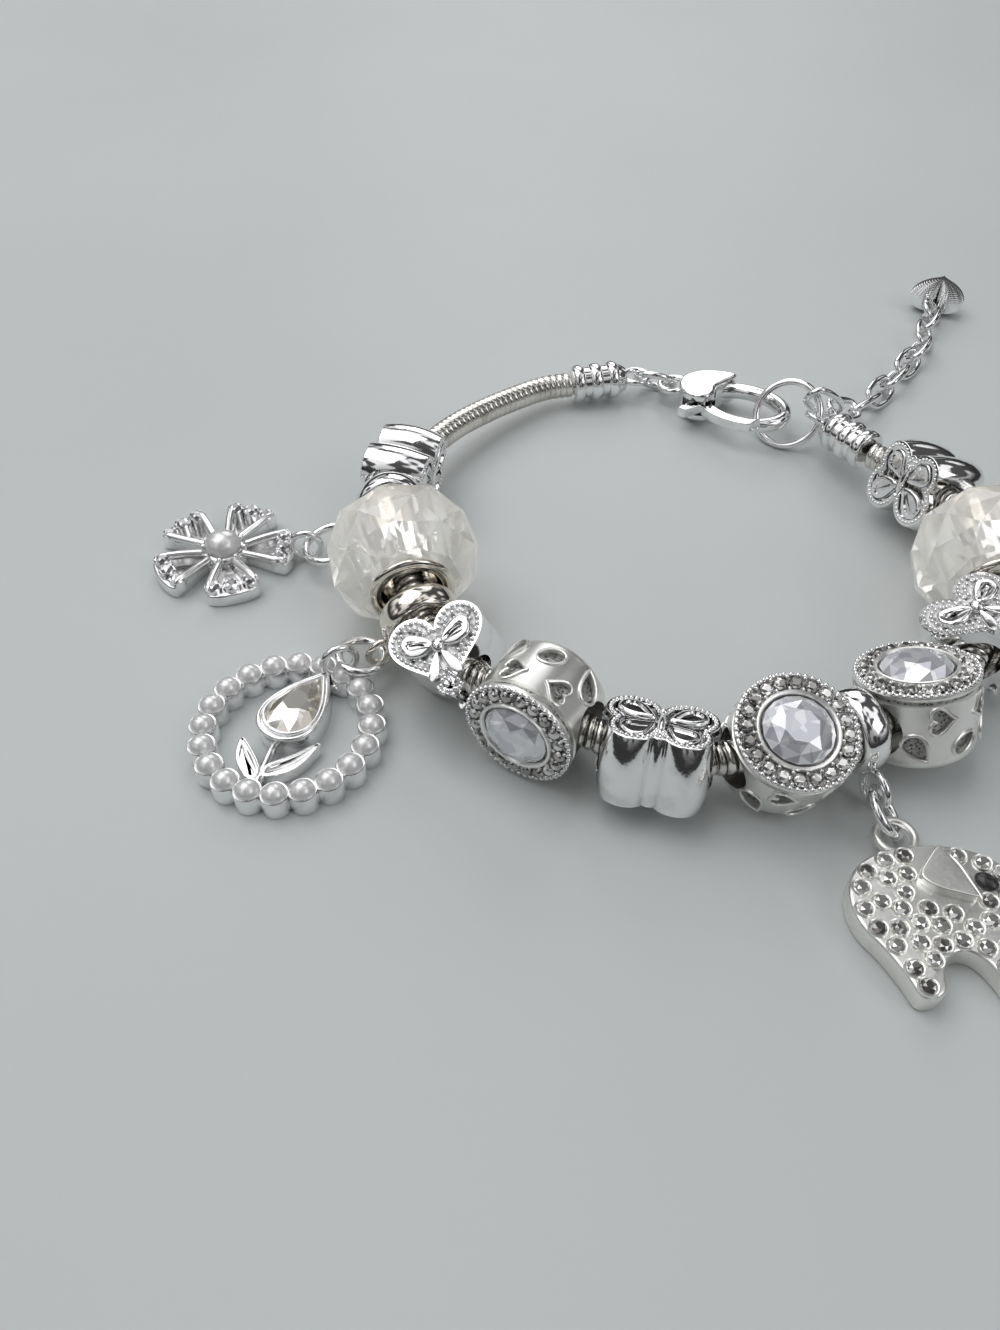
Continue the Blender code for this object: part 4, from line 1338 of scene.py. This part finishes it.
@dataclass
class PearlCharm:
    """Ring of half-pearls round a tulip that holds a pear-shaped stone.

    Args:
        loop: Middle of its own loop.
    """

    loop: Vector
    radius: float = 8.75
    count: int = 20
    cup: float = 1.28
    height: float = 2.0

    def build(self) -> None:
        """Make the cups, the pearls, the tulip and its stone."""
        place = Matrix.Translation(PEARL_CENTRE)
        metal, pearls = Form(), Form()
        step = 360 / self.count
        h, r = self.height, self.cup
        around = [spun(step * k) @ shifted(self.radius - r, 0, 0) for k in range(self.count)]
        cup = [(0.0, 0.0), (0.0, r - 0.12), (0.12, r), (h - 0.12, r), (h, r - 0.08),
               (h - 0.02, r - 0.2), (h - 0.3, 0.8), (h - 0.3, 0.0)]
        for spot in around:
            metal.lathe(cup, 32, spot @ X_TO_Z)
        pearls.ball(1.12, [spot @ shifted(0, 0, h - 0.3) for spot in around], 4)
        seat = shifted(0.9, 2.3, 0) @ spun(62)
        self.tulip(metal, seat)
        standing_loop(metal, self.loop - PEARL_CENTRE, PEARL_SIDE)
        metal.piece("pearl_charm_metal", SOFT, place, ["pearl_charm"])
        pearls.piece("pearl_charm_pearls", PEARL, place)
        self.stone().piece("pearl_charm_teardrop", CHAMPAGNE, place @ seat, ["teardrop_stone"],
                           smooth=0)

    @staticmethod
    def tulip(metal: Form, seat: Matrix) -> None:
        """Add the double bezel, the stem, the leaves and the bars to the ring."""
        outer, inner = pear_outline(3.15, 72), pear_outline(2.72, 72)
        wall = Form().slab(outer, 0.0, 2.1, 0.15, 3)
        wall.carve(Form().slab(inner, 1.0, 4.0))
        metal.stamp(blank_mesh(wall.bm), [seat])
        for edge, inward, height, wire in ((outer, 0.18, 2.1, 0.24), (inner, 0.12, 2.25, 0.2)):
            rim = [(x, y, height) for x, y in shrunk(edge, inward)]
            metal.tube(rim + rim[:1], wire, 10, seat)
        stem = [(-0.9, -0.9, 0.9), (-1.3, -2.8, 0.9), (-1.7, -4.8, 0.9), (-2.1, -6.6, 0.9)]
        metal.tube(catmull_rom(stem, 10), 0.42, 14)
        for leaf in TULIP_LEAVES:
            metal.slab(smooth_outline(leaf), 0.15, 1.45, 0.3, 4, dish=0.22, rim=0.2)
        for vein in ([(-2.0, -5.0, 1.3), (-3.0, -3.2, 1.35), (-3.8, -1.6, 1.3)],
                     [(-1.3, -4.7, 1.3), (0.6, -3.9, 1.35), (2.4, -2.3, 1.3)]):
            metal.tube(catmull_rom(vein, 6), 0.16, 8)
        for start, end in (((3.4, 4.9, 1.0), (3.9, 5.9, 1.0)),
                           ((-2.1, -6.2, 0.9), (-2.3, -6.9, 0.9))):
            metal.rod(start, end, 0.5)

    @staticmethod
    def stone() -> Form:
        """Pear-cut stone: the hull of its table, its crown and its girdle."""
        bm = bmesh.new()
        layers = ((3.1, 1.15, 8), (2.75, 1.8, 10), (2.25, 2.5, 16), (1.2, 2.0, 12))
        for z, size, count in layers:
            for x, y in pear_outline(size, count):
                bm.verts.new((x, y, z))
        bmesh.ops.convex_hull(bm, input=bm.verts[:])
        return Form().add(bm)


ELEPHANT = [
    (-6.5, 1.2), (-5.6, 3.4), (-3.8, 4.8), (-1.5, 5.5), (1.5, 5.7), (4.4, 5.1), (6.6, 3.5),
    (8.2, 1.4), (9.5, -1.2), (10.3, -3.8), (9.4, -4.7), (8.5, -3.4), (7.2, -2.7), (6.5, -4.4),
    (6.2, -6.8), (3.8, -7.0), (3.0, -5.5), (2.3, -4.2), (1.3, -3.5), (0.2, -3.6), (-0.8, -4.5),
    (-1.4, -6.6), (-3.1, -7.0), (-3.9, -5.3), (-4.9, -3.3), (-6.2, -1.2)]
ELEPHANT_EAR = [(-0.8, 2.6), (0.2, 4.1), (1.3, 5.2), (1.9, 4.4), (2.5, 2.5), (3.1, 0.7),
                (1.8, 0.9), (0.1, 1.5)]
ELEPHANT_EYE = (4.35, 2.3)


@dataclass
class ElephantCharm:
    """Flat elephant paved with stones, with a smooth raised ear and a black eye.

    Args:
        loop: Middle of its own loop.
        thickness: Height of the plate.
        pitch: Spacing of the stones.
        across: How far to the right of the loop its middle is.
        below: How far in front of the loop its middle is.
    """

    loop: Vector
    thickness: float = 2.2
    pitch: float = 1.52
    across: float = 1.2
    below: float = 6.95

    def build(self) -> None:
        """Make the plate, the paving, the ear and the eye."""
        centre = Vector((self.loop.x + self.across, self.loop.y - self.below, 0))
        place = Matrix.Translation(centre)
        outline = smooth_outline(ELEPHANT)
        top = self.thickness
        metal = Form().slab(outline, 0.0, top, 0.3, 4)
        metal.loop(Matrix.Translation(self.loop - centre))
        ear = smooth_outline(ELEPHANT_EAR)
        Form().slab(ear, top - 0.2, top + 0.75, 0.55, 7).piece(
            "elephant_charm_ear", SATIN, place, smooth=60)
        crest = [(1.8, 5.2, top), (2.6, 3.9, top + 0.1), (3.1, 2.3, top + 0.1), (3.6, 0.6, top)]
        metal.tube(catmull_rom(crest, 8), 0.22, 10)
        spots = self.paving(outline, ear)
        cup = [(-0.1, 0.0), (-0.1, 0.84), (0.08, 0.8), (0.2, 0.72), (0.16, 0.63), (-0.1, 0.6)]
        for x, y in spots:
            metal.lathe(cup, 24, shifted(x, y, top) @ X_TO_Z)
        metal.piece("elephant_charm_metal", SATIN, place, ["elephant_charm"])
        stones = Form().gem(0.66, 0.34, [shifted(x, y, top + 0.1) @ spun(37 * x + 61 * y)
                                         for x, y in spots], 6, 0.5, 0.2)
        stones.piece("elephant_charm_stones", SMOKY, place, smooth=0)
        oval = Matrix.Diagonal((0.95, 0.75, 0.5, 1))
        eye = shifted(*ELEPHANT_EYE, top + 0.05) @ spun(-40) @ oval
        Form().ball(1.0, [eye], 4).piece("elephant_charm_eye", ENAMEL, place)

    def paving(self, outline: Sequence[Point2], ear: Sequence[Point2]) -> list[Point2]:
        """Places of the stones, packed from the edge inward."""
        grid = [(0.2 * i - 7.4, 0.2 * j - 7.4) for i in range(90) for j in range(68)]
        inner = [(round(distance_to(spot, outline), 1), spot)
                 for spot in grid if inside(spot, outline)]
        found = []
        for edge, (x, y) in sorted(inner):
            off_ear = not inside((x, y), ear) and distance_to((x, y), ear) > 0.75
            off_eye = math.dist((x, y), ELEPHANT_EYE) > 1.6
            apart = all(math.hypot(x - a, y - b) > self.pitch for a, b in found)
            if edge >= 0.9 and off_ear and off_eye and apart:
                found.append((x, y))
        return found


# ------------------------------------------------------------------ clasp and extender

@dataclass
class LobsterClasp:
    """Lobster clasp: a hooked body with two cheeks, and a lever between them."""

    centre: float = 10.2
    outer: Point2 = (6.1, 4.5)
    inner: Point2 = (4.3, 2.8)
    pivot: Point2 = (5.7, -1.9)
    half: float = 1.8

    @property
    def place(self) -> Matrix:
        """Placement with X from the root to the tip."""
        return frame_at(CLASP_ROOT, CLASP_DIRECTION, UP)

    def on_oval(self, size: Point2, degrees: float) -> Point2:
        """Point of an oval round the middle of the opening."""
        a = math.radians(degrees)
        return (self.centre + size[0] * math.cos(a), size[1] * math.sin(a))

    def build(self) -> None:
        """Make the body and the lever."""
        middle = tuple((o + i) / 2 for o, i in zip(self.outer, self.inner))
        hook = [(*self.on_oval(middle, -43 + 203 * k / 40), 0.0) for k in range(41)]
        body = Form().tube(hook, lambda t: 0.93 - 0.12 * (1 - t) ** 3, 20)
        shoulder = [(1.7, -0.9), (1.7, 0.9), (3.0, 2.8), (5.2, 3.9), (6.8, 3.8), (6.5, 1.8),
                    (6.3, 0.0), (6.9, -1.3), (6.7, -2.8), (5.0, -3.5), (3.0, -2.8)]
        cheeks = Form().slab(smooth_outline(shoulder), -self.half, self.half, 0.8, 6)
        slot = [(3.7, -0.2), (4.7, 0.1), (8.2, 0.1), (8.2, -5.4), (3.7, -5.4)]
        cheeks.carve(Form().slab(slot, -0.95, 0.95))
        body.stamp(blank_mesh(cheeks.bm), [IDENTITY])
        body.rod((*self.pivot, -self.half - 0.02), (*self.pivot, self.half + 0.02), 0.45)
        body.torus(1.75, 1.75, 0.42, shifted(0.2, 0, 0))
        body.piece("clasp_body_cast", CHROME, self.place, ["clasp_body"])
        arm = [self.on_oval((5.9, 4.35), 228 + 75 * k / 20) for k in range(21)]
        arm += [self.on_oval((4.5, 2.95), 320 - 92 * k / 20) for k in range(21)]
        arm += [(6.1, -0.85), (5.2, -0.85), (4.7, -1.5), (4.7, -2.8), (4.4, -5.2), (5.4, -5.2),
                (5.9, -4.1)]
        lever = Form().slab(arm, -0.6, 0.6, 0.2, 3)
        lever.carve(Form().rod((*self.pivot, -3), (*self.pivot, 3), 0.6))
        lever.piece("clasp_lever_cast", CHROME, self.place, ["clasp_lever"], Body.LEVER)


@dataclass
class Extender:
    """Cable chain of nine links with a puffy heart at its end.

    Args:
        leave: Where it leaves the ring that the clasp holds.
        first_normal: Normal of the first link.
    """

    leave: Vector
    first_normal: Vector

    def build(self) -> None:
        """Make the links one after another, and the heart."""
        pitch = LINK_LENGTH - 2 * LINK_WIRE_RADIUS - GAP
        away = (Vector(EXTENDER_ROUTE[0]) - self.leave).normalized()
        start = self.leave - (LINK_WIRE_RADIUS + GAP + WIRE_RADIUS) * away
        track = Track([start] + EXTENDER_ROUTE, 40)
        for k in range(LINK_COUNT):
            s = k * pitch
            along = (track.point(s + LINK_LENGTH) - track.point(s)).normalized()
            side = along.cross(UP).normalized()
            normal = Matrix.Rotation(math.radians(LINK_ROLLS[k]), 3, along) @ side
            if k == 0:
                normal = self.first_normal
            middle = (track.point(s) + track.point(s + LINK_LENGTH)) / 2
            Form().torus(LINK_LENGTH / 2, LINK_HALF_WIDTH, LINK_WIRE_RADIUS).piece(
                f"extender_link_{k + 1}_wire", CHROME, frame_at(middle, along, normal),
                [f"extender_link_{k + 1}"])
        self.heart(middle + along * LINK_LENGTH / 2, along, along.cross(normal))

    @staticmethod
    def heart(hinge: Vector, along: Vector, loop_axis: Vector) -> None:
        """Make the puffy heart, its tip pointing away from the links."""
        flat = Vector((along.x, along.y, 0)).normalized()
        place = frame_at(Vector((hinge.x, hinge.y, 2.0)) + 4.4 * flat, flat, UP)
        form = Form()
        for k in range(HEART_LAYERS):
            share = math.sin(math.pi / 2 * k / HEART_LAYERS)
            size = HEART_WIDTH * math.sqrt(1 - share ** 2)
            rise = 2.0 * share + 0.25
            form.slab(heart_outline(size, 72), -rise, rise, 0.2, 2, spun(90))
        form.loop(place.inverted() @ frame_at(hinge, along, loop_axis))
        form.piece("extender_heart_puffy", CHROME, place, ["extender_heart"])


@dataclass
class Closure:
    """Everything between the chain's two ends."""

    left: Vector = field(default_factory=lambda: (ROUTE.point(0) - ROUTE.point(1)).normalized())
    right: Vector = field(default_factory=lambda: (
        ROUTE.point(ROUTE.length) - ROUTE.point(ROUTE.length - 1)).normalized())

    def build(self) -> None:
        """Make the caps, the clasp on its ring, the held ring and the extender."""
        start, end = ROUTE.point(0), ROUTE.point(ROUTE.length)
        EndCap("end_cap_left", start + GAP * self.left, self.left, UP).build()
        EndCap("end_cap_right", end + GAP * self.right, self.right, RING_WIRE).build()
        clasp = LobsterClasp()
        clasp.build()
        reach = GAP + CAP_LENGTH + LOOP_REACH
        root = CLASP_ROOT + 0.15 * CLASP_DIRECTION.normalized()
        JumpRing("clasp_jump_ring", start + reach * self.left, root, (0.0, 0.7, 0.72)).build()
        held = clasp.place @ HELD_POINT
        cap_loop = end + reach * self.right
        across = (cap_loop - held).normalized()
        upward = (RING_WIRE - across * across.dot(RING_WIRE)).normalized()
        JumpRing("extender_ring", held, cap_loop, across.cross(upward)).build()
        turn = math.radians(RING_ANGLE)
        outward = math.cos(turn) * across + math.sin(turn) * upward
        leave = (held + cap_loop) / 2 + (cap_loop - held).length / 2 * outward
        Extender(leave, math.cos(turn) * upward - math.sin(turn) * across).build()


@dataclass
class Charms:
    """The three charms, each on a bail and a jump ring."""

    def build(self) -> None:
        """Make the bails, the rings and the charms."""
        loop = Bail("bail_flower", 38.6, (-34.0, 3.4, 1.95)).build()
        own = Vector((loop.x - 5.7, loop.y + 0.7, FLOWER_LOOP_HEIGHT))
        JumpRing("jump_ring_flower", loop, own, UP).build()
        FlowerCharm(own).build()
        loop = Bail("bail_pearl", 54.5, (-30.6, -10.6, 1.95), WARM_NICKEL).build()
        own = loop - 4.25 * PEARL_SIDE.normalized()
        own.z = PEARL_LOOP_HEIGHT
        JumpRing("jump_ring_pearl", loop, own, UP).build()
        PearlCharm(own).build()
        loop = Bail("bail_elephant", 97.4, (11.4, -28.5, 2.3)).build()
        own = loop + Vector((0.9, -4.0, 0))
        own.z = ELEPHANT_LOOP_HEIGHT
        JumpRing("jump_ring_elephant", loop, own, (0.7, 0.2, 0.68)).build()
        ElephantCharm(own).build()


# ------------------------------------------------------------------ studio

@dataclass
class Studio:
    """Table, lights, surroundings and camera.

    Args:
        camera_place: Where the camera is, in the loop's coordinates.
        pitch_down: How far it looks down, in degrees.
        lens: Its focal length.
        exposure: Brightening of the picture, in stops.
        table_half: Half the table's width, in metres.
        clearance: Gap under the lowest charm, in metres.
    """

    camera_place: Vector = field(default_factory=lambda: Vector((-18.2, -76.7, 70.0)))
    pitch_down: float = 47.0
    lens: float = 27.04
    exposure: float = 0.09
    table_half: float = 1.2
    clearance: float = 1.0e-5

    def build(self) -> None:
        """Make the whole set."""
        self.table()
        self.lights()
        self.surroundings()
        self.camera()
        view = bpy.context.scene.view_settings
        view.view_transform = "Standard"
        view.look = "None"
        view.exposure = self.exposure

    def table(self) -> None:
        """Make the pale table."""
        bm = bmesh.new()
        bmesh.ops.create_grid(bm, x_segments=4, y_segments=4, size=self.table_half)
        mesh = blank_mesh(bm)
        mesh.materials.append(TABLETOP.material())
        table = in_scene("table", mesh)
        table.location.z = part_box("flower_charm")[0].z - self.clearance

    def lights(self) -> None:
        """Make the soft boxes."""
        boxes = (("key", (-0.25, 0.15, 0.55), 0.5, 1.3, (1.0, 1.0, 1.0)),
                 ("fill", (0.45, -0.25, 0.45), 0.3, 0.4, (0.97, 0.98, 1.0)),
                 ("back", (0.05, 0.6, 0.35), 0.35, 0.5, (1.0, 1.0, 1.0)))
        for name, spot, size, power, colour in boxes:
            data = bpy.data.lights.new(name, "AREA")
            data.shape = "SQUARE"
            data.size = size
            data.energy = power
            data.color = colour
            light = in_scene(name, data)
            light.location = spot
            light.rotation_mode = "QUATERNION"
            light.rotation_quaternion = (-Vector(spot)).to_track_quat("-Z", "Y")

    def surroundings(self) -> None:
        """Make a room that is pale above and dark low down and behind the camera."""
        world = bpy.data.worlds.new("room")
        world.use_nodes = True
        graph = Graph(world.node_tree)
        ray = graph.node("ShaderNodeTexCoord", out="Generated")
        split = graph.node("ShaderNodeSeparateXYZ", {0: ray}, out="X")
        parts = [Value(graph, s) for s in split.socket.node.outputs]
        high = parts[2].step(0.1, 0.5)
        behind = (0.0 - parts[1]).step(0.3, 0.8)
        patches = graph.noise(ray, 3.1, 0.0).step(0.44, 0.56)
        level = 0.03 + high * (0.04 + 0.85 * patches) * (1.0 - behind * 0.7)
        colour = graph.node("ShaderNodeCombineColor", {0: level, 1: level, 2: level * 1.02})
        shade = graph.node("ShaderNodeBackground", {"Color": colour, "Strength": 1.0})
        graph.node("ShaderNodeOutputWorld", {"Surface": shade})
        bpy.context.scene.world = world

    def camera(self) -> None:
        """Make the camera."""
        data = bpy.data.cameras.new("camera")
        data.lens = self.lens
        data.sensor_width = 36.0
        data.clip_start = 0.002
        data.clip_end = 10.0
        camera = in_scene("camera", data)
        camera.location = TO_FRAME @ self.camera_place
        camera.rotation_euler = (math.radians(90 - self.pitch_down), 0, 0)
        bpy.context.scene.camera = camera


# ------------------------------------------------------------------ main

def beads() -> list[Bead]:
    """The ten beads, in their order along the chain."""
    return [
        ButterflyBead("butterfly_left", 30.0, (-1, 0.25, 0.1), -0.1),
        CrystalBead("crystal_1", BEAD_STATION, (0, 0, 1), number=1),
        HeartBowBead("heart_bow_left", 60.6, (-0.3, -0.35, 0.88), 0.1, turn=62),
        DrumBead("drum_1", 69.6, (-0.6, -0.8, 0.03), number=1),
        ButterflyBead("butterfly_front", 80.3, (0.0, 0.37, 0.93), 0.2),
        DrumBead("drum_2", 90.95, (-0.12, -0.34, 0.91), number=2),
        DrumBead("drum_3", 104.1, (0.15, 0.5, 0.85), 0.1, number=3),
        HeartBowBead("heart_bow_right", 114.4, (-0.2, 0.2, 0.95), turn=-20),
        CrystalBead("crystal_2", 125.4, (0, 0, 1), number=2),
        ButterflyBead("butterfly_right", 139.4, (-0.95, -0.3, 0.35), -0.25)]


def main() -> None:
    """Build the bracelet and its set."""
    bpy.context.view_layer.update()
    SnakeChain().build()
    for bead in beads():
        bead.build()
    Charms().build()
    Closure().build()
    Studio().build()
    bpy.context.view_layer.update()


if __name__ == "__main__":
    main()
